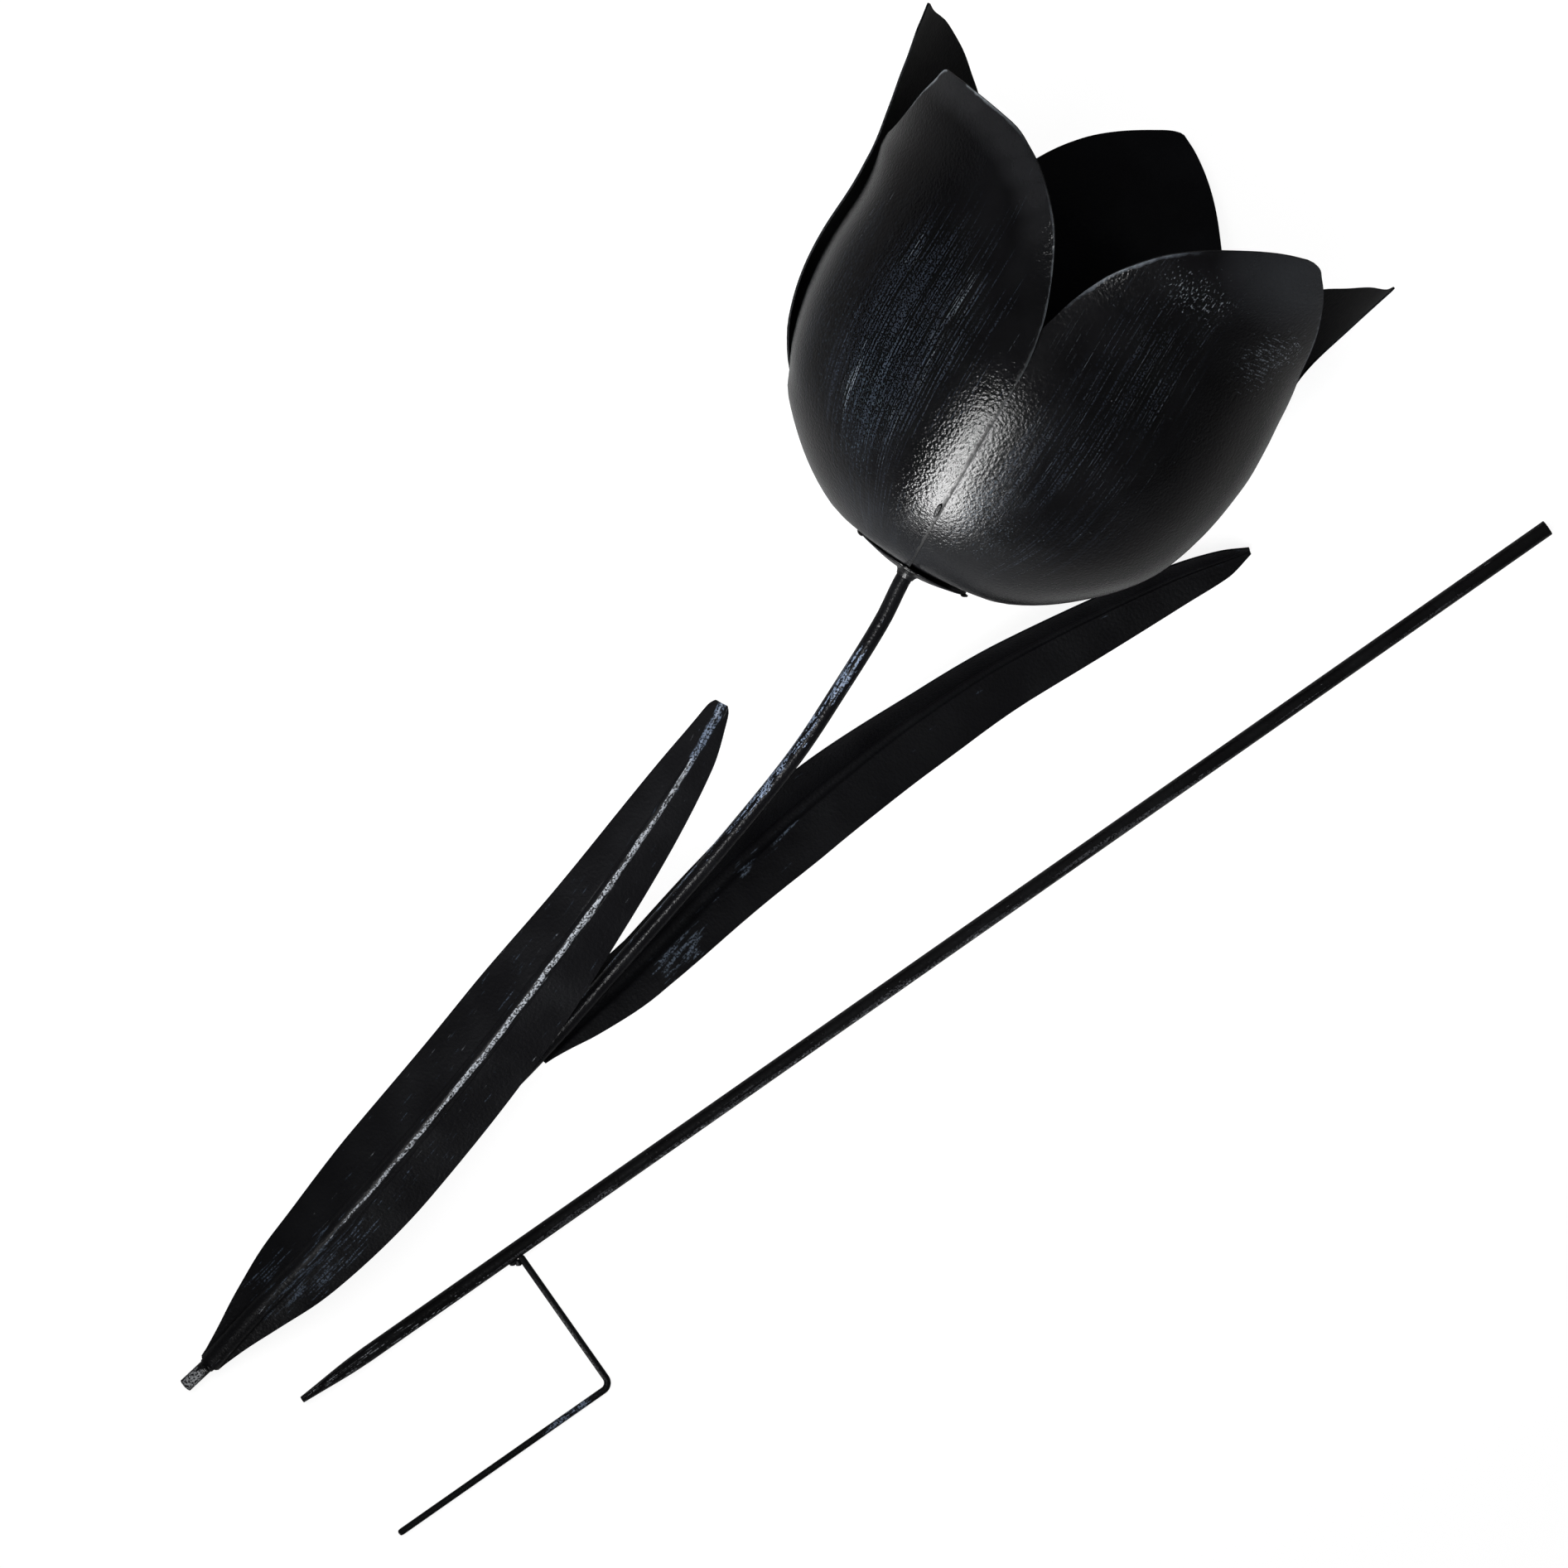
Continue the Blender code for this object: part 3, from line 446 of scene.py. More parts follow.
# Name: heading of the tip (0 front, 90 left), length, layer from the outside in, left and right edges as
# (below the tip, degrees from the tip), and a lean as (heading where it starts, heading where it is
# full, pairs of length up the petal and way outwards). Lengths are in mm.
PETALS = {
    "petal_front_left": (
        55, 233.3, 0,
        [(0, 0.3), (0.7, 1.2), (6.4, 4), (14.4, 8.5), (23.7, 13.8), (33.2, 21), (43.6, 33), (148, 33),
         (165, 39), (180, 43), (300, 43)],
        [(0, 8.5), (0.8, 16.5), (2.5, 24.8), (6.2, 29.5), (10.5, 33.5), (17.4, 37.8), (26.7, 42.3),
         (36, 45.5), (48.2, 49), (62, 52), (81.6, 53.8), (300, 54.5)],
        (58, 84, [(85, 0), (97, -2.2), (130, -2.8), (165, -3.2), (178, -2.4), (190, 0)])),
    "petal_front_right": (
        -41, 243.6, 1,
        [(0, 1), (1.7, 5.3), (4.3, 9.5), (8.8, 14.8), (15.7, 21.5), (24.2, 27.8), (33, 32.3), (46.6, 37.8),
         (63.6, 42), (100, 46.5), (300, 47)],
        [(0, 1), (0.9, 3.2), (3.8, 5.5), (9.4, 9.8), (20.3, 16.8), (34.1, 25.5), (46, 33.3), (55, 41),
         (67, 47), (120, 51), (300, 51)],
        (-60, -84, [(120, 0), (140, 0.5), (155, 1), (166, 1), (180, 0.3), (190, 0)])),
    "petal_side_left": (
        98, 246, 1,
        [(0, 0.5), (2.5, 5.8), (4.3, 13), (7.3, 18), (13.4, 25), (20.5, 30.3), (26.4, 34.5), (40, 41),
         (60, 46), (90, 49), (300, 50)],
        [(0, 0.5), (6, 3.5), (12, 7), (161, 7), (175, 15), (190, 35), (210, 48), (300, 48)],
        (132, 104, [(90, 0), (103, 1.4), (111, 2.3), (136, 3), (163, 2.5), (183, 3.4), (199, 4.6),
                    (213, 3.7), (227, 2.2), (242, 1.3), (250, 1.3)])),
    "petal_side_right": (
        -92, 244.5, 2,
        [(0, 0.4), (2, 1.5), (51, 1.5), (65, 8), (85, 22), (110, 35), (140, 40), (300, 40)],
        [(0, 0.4), (2.3, 3), (7.1, 14.8), (14, 23.8), (19.6, 30.3), (30, 38), (45, 46), (70, 53),
         (110, 57), (300, 58)],
        None),
    "petal_back": (
        182.5, 246.1, 0,
        [(0, 0.5), (1.3, 2), (3.1, 4), (8.4, 8.5), (15.6, 13.5), (28.3, 20.8), (40, 27), (60, 33),
         (90, 38.5), (150, 42.5), (300, 42.5)],
        [(0, 0.5), (0.7, 1.8), (4.4, 5.5), (13.2, 13), (20.9, 18.3), (36, 26), (60, 35), (90, 41),
         (150, 45.5), (300, 45.5)],
        None),
}
print("petals:", len(PETALS))

# %% [markdown]
# ## From the blank to the bloom
# Three things place a spot of a petal: its length up the turned curve, its heading round the stem's
# line, and how deep it lies inside the outermost layer. A lean moves one flank of a petal outwards, as
# its outline shows in the photograph.

# %% Spots on the bloom
CURVE_STEPS = 600


class TurnedCurve:
    """The bloom's outer curve, read by its length from the stem outwards."""

    def __init__(self, points):
        self.points = [path_point(points, k / CURVE_STEPS) for k in range(CURVE_STEPS + 1)]
        self.lengths = [0.0]
        for a, b in zip(self.points, self.points[1:]):
            self.lengths.append(self.lengths[-1] + (b - a).length)

    def at(self, length, inwards):
        """(radius, height) at a length, moved square to the curve towards the inside."""
        i = stretch(self.lengths, length)
        a, b = self.points[i:i + 2]
        share = (length - self.lengths[i]) / (self.lengths[i + 1] - self.lengths[i])
        along = (b - a).normalized()
        return a + (b - a) * share + Vector((-along.y, along.x)) * inwards

    def length_at(self, axis, value):
        """Length where the radius (axis 0) or the height (axis 1) first reaches a value."""
        i = 0
        while self.points[i][axis] < value:
            i += 1
        return self.lengths[i]


bloom_curve = TurnedCurve(PETAL_PROFILE)


def on_bloom(flat, heading):
    """Point at (radius, height) and a heading in degrees, in the upright flower."""
    turn = math.radians(heading)
    return Vector((flat.x * math.sin(turn), flat.x * math.cos(turn), flat.y))


def petal_spot(name, across, along):
    """(length up the curve, heading) of a spot of a petal's blank."""
    tip, length_mm, _, left, right, _ = PETALS[name]
    run = FIRST_ROW + (length_mm * MM - FIRST_ROW) * (1 - (1 - along) ** PETAL_CROWDING)
    below = length_mm - run / MM
    first = tip - value_at(right, below)
    last = tip + value_at(left, below)
    return run, first + (last - first) * across


def petal_depth(name, run, heading):
    """How far inside the outermost layer a spot of a petal lies."""
    layer = PETALS[name][2] * (SHEET + LAP_GAP)
    lean = PETALS[name][5]
    if not lean:
        return layer
    first, full, pairs = lean
    share = min(max((heading - first) / (full - first), 0), 1)
    return layer - value_at(pairs, run / MM) * MM * share * share * (3 - 2 * share)


print("bloom curve in mm:", round(bloom_curve.lengths[-1] / MM, 1))

# %% [markdown]
# ## Paint on the petals
# The two front petals show their outsides and carry most of the brushing. The ovals say where, as
# (degrees round the bloom, millimetres up the petal). The degrees become millimetres at the bloom's
# widest radius, so the map's two directions have the same scale.

# %% Petal paints
DEGREE_MM = math.radians(1) * RING_RADIUS_MM


def on_petal(*ovals):
    """Ovals given in degrees round the bloom, in the blank's millimetres."""
    return [(heading * DEGREE_MM, up, half * DEGREE_MM, half_up, strength)
            for heading, up, half, half_up, strength in ovals]


# The petals' black is near to pure, so the blue-grey of the brush is what gives them their colour.
PETAL_BLACK = "#060607"
# Soft wide streaks, dense fine specks with a teal tint and a few bright hairlines on the left petal.
front_left_paint = enamel(
    "dry_brushed_enamel_front_left_painted_sheen", PETAL_BLACK, 0.12,
    layers=[
        (0.8, 60, 0.4, "#2b313b",
         on_petal((34, 135, 34, 90, 0.95), (66, 130, 28, 90, 0.8), (30, 70, 36, 50, 0.7))),
        (0.7, 44, 0.3, "#454d5a", on_petal((30, 130, 30, 80, 0.6), (66, 130, 26, 84, 0.5))),
        (0.8, 1.6, 0.24, "#3d4a54", on_petal((33, 104, 15, 50, 0.75), (50, 120, 20, 60, 0.5))),
        (0.5, 30, 0.6, "#7d858e",
         on_petal((22, 152, 4, 44, 0.55), (24, 104, 3.5, 28, 0.5), (38.5, 112, 2, 22, 0.6),
                  (80, 132, 7, 40, 0.4), (60, 172, 5, 18, 0.45), (41, 168, 5, 18, 0.45))),
    ],
    # Painted sheen: soft grey veils near the tip and the base stand in for reflections.
    painted_sheens=[(0.12, "#545558",
            on_petal((54, 229, 14, 11, 1.0), (45, 229, 14, 11, 0.85), (37, 227, 13, 11, 0.7),
                     (30, 224, 12, 11, 0.62), (24, 219, 9, 12, 0.55), (19, 212, 7, 13, 0.5),
                     (15, 203, 6, 15, 0.35))),
           (0.08, "#54575c", on_petal((20, 30, 40, 50, 1.0)))],
    # The black, matt rim along the right edge is a painted seam shadow; the grey rims are edge wear.
    rims=[(0.45, 0.9, "#050506", on_petal((2, 80, 10, 110, 1.0))),
          (0.25, 0.5, "#8f959b", on_petal((52, 226, 26, 30, 1.0))),
          (0.2, 0.2, "#6d7379", on_petal((10, 175, 16, 60, 1.0)))], shift=3.1)
# Fainter streaks on the right petal, with two scuffed patches near its rim.
front_right_paint = enamel(
    "dry_brushed_enamel_front_right_painted_sheen", PETAL_BLACK, 0.2, specular=0.3,
    layers=[
        (0.8, 50, 0.28, "#2b313b",
         on_petal((-12, 120, 18, 64, 0.9), (-24, 160, 30, 78, 0.7), (-30, 95, 28, 44, 0.7))),
        (0.7, 34, 0.16, "#4f5864",
         on_petal((-8, 104, 10, 34, 0.7), (-22, 134, 8, 38, 0.55), (-20, 200, 26, 36, 0.45))),
        (0.8, 1.6, 0.3, "#4a545e", on_petal((-7, 92, 7, 34, 0.85), (-16, 84, 10, 26, 0.6))),
        (0.5, 40, 0.2, "#6d747d", on_petal((-22, 165, 28, 66, 0.35))),
        (0.8, 1.7, 0.34, "#858c94", on_petal((-60, 206, 8, 12, 0.55), (-24, 210, 16, 14, 0.55))),
        (5, 0.8, 0.3, "#7d858e", on_petal((-54, 200, 15, 22, 0.8))),
    ],
    # Painted sheen: soft grey veils near the tip and the base stand in for reflections.
    painted_sheens=[(0.15, "#54575c", on_petal((-46, 236, 26, 28, 1.0))),
           (0.05, "#54575c", on_petal((-10, 40, 40, 50, 1.0)))],
    rims=[(0.35, 0.4, "#747c86", on_petal((-14, 200, 22, 28, 1.0))),
          (0.3, 0.3, "#7d858e", on_petal((-66, 205, 18, 30, 1.0)))], shift=11.4)
# The petals behind were hardly brushed and look plain black.
side_paint = enamel(
    "dry_brushed_enamel_side_painted_sheen", PETAL_BLACK, 0.35, specular=0.2,
    layers=[(1.2, 40, 0.3, "#4a5260", on_petal((0, 150, 400, 70, 0.35)))],
    # Painted sheen: a soft grey veil near a side petal's tip stands in for a reflection.
    painted_sheens=[(0.1, "#54575c", on_petal((-94, 226, 22, 40, 1.0)))], shift=7.9)
petal_paints = {
    "petal_front_left": front_left_paint,
    "petal_front_right": front_right_paint,
    "petal_side_left": side_paint,
    "petal_side_right": side_paint,
    "petal_back": side_paint,
}
print("petal paints:", len(set(petal_paints.values())))

# %% [markdown]
# ## Making the petals
# The grid lies on each petal's outer face, and the Solidify modifier grows the sheet inwards, which
# leaves the photographed outline where it is. The cut edge is broken by a small bevel, and that is
# where the photograph shows a thin bright line.

# %% Petals
EDGE_BREAK = 0.18 * MM
OUTLINE_STEPS = 1500


def rim_tree(name):
    """The petal's outline as a search tree of points on the blank, in mm."""
    tree = kdtree.KDTree(2 * OUTLINE_STEPS + 2)
    for side in (0, 1):
        for k in range(OUTLINE_STEPS + 1):
            run, heading = petal_spot(name, side, k / OUTLINE_STEPS)
            tree.insert((heading * DEGREE_MM, run / MM, 0), side * (OUTLINE_STEPS + 1) + k)
    tree.balance()
    return tree


def make_petal(name):
    """A petal's sheet, riding with the flower."""
    rim = rim_tree(name)

    def spot(across, along):
        run, heading = petal_spot(name, across, along)
        place = FLOWER @ on_bloom(bloom_curve.at(run, petal_depth(name, run, heading)), heading)
        # The back petal lies on the floor and gives way where it touches it.
        place.z = max(place.z, 0)
        on_blank = (heading * DEGREE_MM, run / MM)
        return place, on_blank, rim.find((*on_blank, 0))[2]

    bm = bend_grid(*PETAL_GRID, spot)
    face_away_from(bm, FLOWER @ Vector((0, 0, bloom_curve.points[-1].y / 2)))
    piece = finish_piece(name + "_sheet", bm, name, "flower_half",
                         [petal_paints[name], enamel_inside, enamel_rim])
    thicken(piece, SHEET, -1, EDGE_BREAK)


for petal_name in PETALS:
    make_petal(petal_name)

# %% [markdown]
# ## Calyx cup
# Under the bloom sits a shallow pressed dish whose rim is welded to the petals. It is a turned shape:
# a short outline of inner face, rounded rim and outer face is spun round the stem's line.

# %% Cup
CUP_RADIUS = 23.3 * MM
CUP_STEPS = 72
CUP_ROWS = 9
# How far the rim bulges, as a share of the sheet
CUP_RIM_BULGE = 0.45


def turned(outline, steps):
    """Spins an outline of (radius, height) points a full turn about Z and lays it with the flower."""
    bm = bmesh.new()
    corners = [bm.verts.new((0, radius, height)) for radius, height in outline]
    edges = [bm.edges.new(pair) for pair in zip(corners, corners[1:] + corners[:1])]
    bmesh.ops.spin(bm, geom=corners + edges, cent=(0, 0, 0), axis=(0, 0, 1), dvec=(0, 0, 0),
                   angle=math.tau, steps=steps, use_merge=True)
    bmesh.ops.recalc_face_normals(bm, faces=bm.faces)
    bmesh.ops.transform(bm, matrix=FLOWER, verts=bm.verts)
    return bm


def cup_outline():
    """The cup's section, one sheet thick and one seating gap outside the petals."""
    rim = bloom_curve.length_at(0, CUP_RADIUS)
    runs = [FIRST_ROW + (rim - FIRST_ROW) * k / CUP_ROWS for k in range(CUP_ROWS + 1)]
    inside = [bloom_curve.at(run, -SEAT_GAP) for run in runs]
    outside = [bloom_curve.at(run, -SEAT_GAP - SHEET) for run in runs]
    middle = bloom_curve.at(rim + SHEET * CUP_RIM_BULGE, -SEAT_GAP - SHEET / 2)
    return [(p.x, p.y) for p in inside + [middle] + outside[::-1]]


finish_piece("calyx_cup_sheet", turned(cup_outline(), CUP_STEPS), "calyx_cup", "flower_half",
             [enamel_cup])

# %% [markdown]
# ## Rolled tubes
# Stem and stake are the same thin tube. A tube is a rolled sheet too: the grid runs up the outside and
# back down the inside, and both of its seams are merged, so the open ends show the wall's thickness.

# %% Rolling a tube
TUBE_WALL = 0.35 * MM
TUBE_SIDES = 28


def rolled_tube(stations, ring_point):
    """Closed tube wall: up the outside through the stations and back down the inside."""
    loop = [(s, 0) for s in stations] + [(s, 1) for s in reversed(stations)] + [(stations[0], 0)]

    def spot(across, along):
        station, inner = loop[round(along * (len(loop) - 1))]
        on_blank = ((across - 0.5) * math.tau * TUBE_RADIUS / MM, station / MM)
        return ring_point(station, across * math.tau, inner), on_blank

    bm = bend_grid(TUBE_SIDES, len(loop) - 1, spot)
    close_seams(bm)
    return bm


print("tube in mm:", round(TUBE_RADIUS * 2 / MM, 2), "wide, wall", round(TUBE_WALL / MM, 2))

# %% [markdown]
# ## Stem
# The tube is bent in a slow curve. Its lower end is necked down to slip into the ground stake and was
# left without brushing.

# %% Stem shape
SLIP_CLEARANCE = 0.1 * MM
STUB_LENGTH = 11 * MM
SHOULDER = 0.6 * MM
STEM_LINE = [(left * MM, height * MM) for left, height in [
    (0, 0.5), (0, -9), (-1.4, -26), (-1, -58), (0.4, -90), (6.1, -132), (14.1, -179), (28, -253),
    (45.6, -318), (65.1, -385), (79.8, -437.5)]]
STEM_TOP = STEM_LINE[0][1]
STEM_BOTTOM = STEM_LINE[-1][1]
STEM_ROWS = 90
HALVINGS = 34


def stem_centre(height):
    """Middle of the stem at a height of the upright flower, found by halving."""
    low = 0.0
    high = 1.0
    for _ in range(HALVINGS):
        middle = (low + high) / 2
        if path_point(STEM_LINE, middle)[1] > height:
            low = middle
        else:
            high = middle
    return Vector((path_point(STEM_LINE, (low + high) / 2)[0], 0, height))


def stem_ring(station, turn, inner):
    """Point of the stem's wall, station metres above its lower end, turned from its back."""
    height = STEM_BOTTOM + station
    stub_radius = TUBE_RADIUS - TUBE_WALL - SLIP_CLEARANCE
    grown = min(max((station - STUB_LENGTH) / SHOULDER, 0), 1)
    radius = stub_radius + (TUBE_RADIUS - stub_radius) * grown - TUBE_WALL * inner
    above = stem_centre(min(height + MM, STEM_TOP))
    below = stem_centre(max(height - MM, STEM_BOTTOM))
    along = (above - below).normalized()
    front = Vector((0, 1, 0))
    across = front.cross(along).normalized()
    return FLOWER @ (stem_centre(height) - front * radius * math.cos(turn) - across * radius * math.sin(turn))


stem_stations = [0, 0.2 * MM, STUB_LENGTH, STUB_LENGTH + SHOULDER / 2, STUB_LENGTH + SHOULDER]
stem_rest = STEM_TOP - STEM_BOTTOM - stem_stations[-1]
stem_stations += [stem_stations[-1] + stem_rest * k / STEM_ROWS for k in range(1, STEM_ROWS + 1)]
print("stem stations:", len(stem_stations))

# %% [markdown]
# ## Paint on the stem
# Between bloom and leaves the stem was brushed hard on one side, and below that only a thin band was
# caught. The necked end is rubbed to bare metal from being plugged in, and its even grey is also a
# painted highlight. Ovals are (millimetres round the tube from its front, millimetres up from its lower
# end).

# %% Stem
stem_paint = enamel(
    "dry_brushed_enamel_stem_painted_highlight", "#0a0a0c", 0.25,
    layers=[(1.2, 9, 0.9, "#76849a",
             [(3.0, 340, 5.2, 66, 1.0), (1.0, 385, 5.0, 24, 1.0), (5.0, 288, 3.4, 46, 1.2),
              (5.0, 235, 2.8, 60, 0.9), (3.0, 180, 2.4, 50, 0.5)]),
            # Grey on the necked end: rubbed bare metal and a painted highlight.
            (2.0, 8, 0.9, "#9b9da0", [(0, 4, 9, 9, 1.6)])], shift=2.2)
finish_piece("stem_tube_rolled", rolled_tube(stem_stations, stem_ring), "stem_tube", "flower_half",
             [stem_paint])

# %% [markdown]
# ## Leaves
# Each leaf is pressed sheet with a half-round channel down its middle. The channel hugs the stem at the
# base, where the flanks lie flat, and above it the flanks fold back. Across the leaf the columns are
# close together on the channel and wider apart on the flanks. The left leaf humps towards the front
# and the right leaf, which shows its hollow side, lies behind the stem.

# %% Leaf shapes
LEAF_ARC_STEPS = 9
LEAF_FOOT_STEPS = 3
LEAF_FLANK_STEPS = 13
LEAF_ROWS = 110
RIB_TIP_RADIUS = 0.6 * MM
RIB_MIDDLE_RADIUS = 2.4 * MM
RIB_FILLET = 0.9 * MM
RIB_ARC = 78
# Where the channel's foot, the bend's corner and the flank's start lie, as shares of the fillet
FOOT_OUT = 0.6
CORNER_BACK = 0.25
FLANK_OUT = 0.7
LEAST_FLANK = 0.2 * MM
FOLD_SHARE = 0.16
# How far ahead and behind, as shares of the leaf's length, its direction is read
DIRECTION_SHARE = 0.005
# Above 1, a leaf's rows lie closer together towards its tip.
LEAF_CROWDING = 1.25

# Base height, bends (rise, left, in front), half widths (share, mm), fold, twist, front or back
LEAVES = {
    "leaf_left": (13.5, [
        (0, 0, 0), (28, 2.7, 5), (72, 5.7, 12), (116, 10.9, 18), (170, 17.8, 24), (248, 24.6, 28),
        (315, 32, 25), (341, 36, 22)],
        [(0, 4.2), (0.04, 7), (0.09, 11.5), (0.17, 18), (0.33, 21.8), (0.55, 20.6), (0.72, 16.5),
         (0.84, 13.2), (0.93, 9.4), (0.975, 6.0), (0.994, 4.2), (1, 2.6)],
        22, [(0, 0), (1, 0)], 1),
    "leaf_right": (191, [
        (0, 0, 0), (23, -3, -6.5), (48, -6.5, -14), (91, -10, -27), (122, -14.1, -36.5),
        (156, -22.1, -46.5), (186, -33.6, -56), (224, -53.1, -68), (281, -92.5, -83),
        (308, -114.4, -89)],
        [(0, 4.2), (0.03, 6.5), (0.065, 9.8), (0.145, 14.8), (0.285, 18.8), (0.4, 21.3), (0.55, 21.3),
         (0.65, 20), (0.76, 17.8), (0.9, 12), (0.965, 7.6), (1, 1.6)],
        32, [(0, 0), (0.16, 16), (0.42, 19), (0.58, 31), (0.75, 33), (1, 24)], -1),
}


def half_section(rib, width, fold):
    """Half of a leaf's section from the channel's crest to its edge, as (wide, high)."""
    half = []
    for k in range(LEAF_ARC_STEPS + 1):
        turn = math.radians(RIB_ARC * k / LEAF_ARC_STEPS)
        half.append((rib * math.sin(turn), rib * math.cos(turn)))
    drop = math.tan(math.radians(fold))
    foot = rib + RIB_FILLET * FOOT_OUT
    reach = max(math.cos(math.radians(fold)) * width, foot + LEAST_FLANK)
    settled = min(foot + RIB_FILLET * FLANK_OUT, (foot + reach) / 2)
    start = Vector(half[-1])
    corner = Vector((foot - RIB_FILLET * CORNER_BACK, 0))
    end = Vector((settled, -(settled - foot) * drop))
    for k in range(1, LEAF_FOOT_STEPS + 1):
        u = k / LEAF_FOOT_STEPS
        bend = start * (1 - u) ** 2 + corner * 2 * u * (1 - u) + end * u**2
        half.append((bend.x, bend.y))
    for k in range(1, LEAF_FLANK_STEPS + 1):
        wide = settled + (reach - settled) * k / LEAF_FLANK_STEPS
        half.append((wide, -(wide - foot) * drop))
    return half


print("points across half a leaf:", LEAF_ARC_STEPS + LEAF_FOOT_STEPS + LEAF_FLANK_STEPS + 1)

# %% [markdown]
# ## A leaf row by row
# The section is set square to the leaf's own line from base to tip. On the way up the channel gets
# narrower, the flanks fold back, and the right leaf also twists about its line.

# %% Leaf rows
class Leaf:
    """A leaf's rows of points in the upright flower, with the blank's millimetres for each."""

    def __init__(self, base, bends, widths, fold, twist, front):
        bottom = STEM_BOTTOM + base * MM
        self.front = front
        self.line = [stem_centre(bottom + rise * MM) + Vector((left, ahead, 0)) * MM
                     for rise, left, ahead in bends]
        self.length = sum((b - a).length for a, b in zip(self.line, self.line[1:]))
        base_rib = TUBE_RADIUS + SEAT_GAP
        ribs = [(0, base_rib), (0.12, base_rib), (0.5, RIB_MIDDLE_RADIUS), (1, RIB_TIP_RADIUS)]
        self.rows = []
        for k in range(LEAF_ROWS + 1):
            spread = 1 - (1 - k / LEAF_ROWS) ** LEAF_CROWDING
            rib = value_at(ribs, spread)
            width = max(value_at(widths, spread) * MM, rib + RIB_FILLET)
            section = half_section(rib, width, fold * min(spread / FOLD_SHARE, 1))
            self.rows.append(self.row(spread, section, value_at(twist, spread)))

    def row(self, spread, section, twist):
        """Places of one section, at a share of the leaf's length."""
        centre = path_point(self.line, spread)
        ahead = path_point(self.line, min(spread + DIRECTION_SHARE, 1))
        behind = path_point(self.line, max(spread - DIRECTION_SHARE, 0))
        along = (ahead - behind).normalized()
        hump = (Vector((0, self.front, 0)) - along * along.y * self.front).normalized()
        hump = Matrix.Rotation(math.radians(twist), 3, along) @ hump
        across = along.cross(hump)
        points = []
        for wide, high in [(-w, h) for w, h in section[:0:-1]] + section:
            spot = centre + across * wide + hump * high
            points.append((FLOWER @ spot, (wide / MM, spread * self.length / MM)))
        return points


def make_leaf(name, paint, back_paint):
    """A leaf's sheet, with one paint on its humped side and one on its hollow side."""
    leaf = Leaf(*LEAVES[name])
    columns = len(leaf.rows[0]) - 1

    def spot(across, along):
        return leaf.rows[round(along * LEAF_ROWS)][round(across * columns)]

    bm = bend_grid(columns, LEAF_ROWS, spot)
    middle = leaf.rows[LEAF_ROWS // 2][columns // 2][0]
    behind = middle - (FLOWER.to_3x3() @ Vector((0, leaf.front, 0)))
    face_away_from(bm, behind)
    piece = finish_piece(name + "_sheet", bm, name, "flower_half",
                         [paint, back_paint, enamel_rim])
    thicken(piece, SHEET, 1, EDGE_BREAK)
    print(name, "length in mm:", round(leaf.length / MM, 1))


# %% [markdown]
# ## Paint on the leaves
# The left leaf's channel stands up, so the brush caught it along almost its whole length, and the
# bright line along it is also a painted highlight. Its flanks only took thin strokes near the base. On
# the hollow side of the right leaf one patch was brushed. The last few centimetres at each base stayed
# black.

# %% Leaves
# A crest that is hard-brushed and carries a painted highlight, faint strokes on the flanks, with the base
# left black.
left_leaf_paint = enamel(
    "dry_brushed_enamel_left_leaf_painted_highlight", "#0a0a0c", 0.3,
    layers=[
        (0.9, 14, 0.55, "#4c5868",
         [(6, 64, 14, 46, 0.85), (-7, 42, 10, 26, 0.65), (6, 120, 14, 60, 0.35), (-8, 200, 14, 120, 0.25)]),
        # The bright crest line is dry-brushed grey and a painted highlight along the channel.
        (0.6, 12, 0.8, "#a4a9b0", [(0.5, 210, 1.1, 196, 1.8)]),
        (0.9, 9, 0.6, "#76849a", [(0.5, 338, 2.2, 40, 1.2)]),
    ], shift=5.5)
# One brushed patch on the hollow side, where the brush followed the fold.
right_leaf_paint = enamel(
    "dry_brushed_enamel_right_leaf", "#0a0a0c", 0.3,
    layers=[(1.3, 12, 0.6, "#56616f", [(-8, 68, 9, 22, 1.0), (-3, 118, 4, 56, 0.6)])], shift=9.5)
# The leaves' other sides saw no brush at all.
leaf_back_paint = enamel("black_enamel_leaf_back", "#0a0a0b", 0.36)
make_leaf("leaf_left", left_leaf_paint, leaf_back_paint)
make_leaf("leaf_right", leaf_back_paint, right_leaf_paint)

# %% [markdown]
# ## Ground stake
# A straight tube, cut square at the top and pinched to a point at the bottom, where the bore runs out
# as a slit. The rows are close together on the pinched end.

# %% Stake
STAKE_LENGTH = 610 * MM
TAPER_LENGTH = 32 * MM
TIP_HALF_WIDTH = 1.35 * MM
TIP_HALF_HEIGHT = 2.2 * MM
TIP_SLIT_HALF = 0.35 * MM
STAKE_WIDTHS = [(0, 0.0), (0.25, 0.3), (0.5, 0.62), (0.75, 0.88), (1, 1.0)]
STAKE_HEIGHTS = [(0, TIP_HALF_HEIGHT), (0.25, TUBE_RADIUS), (1, TUBE_RADIUS)]
TAPER_ROWS = 16
STRAIGHT_ROWS = 40


def stake_ring(station, turn, inner):
    """Point of the stake's wall, station metres from its point."""
    share = min(station / TAPER_LENGTH, 1)
    half_width = TIP_HALF_WIDTH + (TUBE_RADIUS - TIP_HALF_WIDTH) * value_at(STAKE_WIDTHS, share)
    half_height = value_at(STAKE_HEIGHTS, share)
    tip_wall = TIP_HALF_WIDTH - TIP_SLIT_HALF
    wall = (tip_wall + (TUBE_WALL - tip_wall) * share) * inner
    wide = -(half_width - wall) * math.sin(turn)
    high = -(half_height - wall) * math.cos(turn)
    return STAKE @ Vector((station, wide, high))


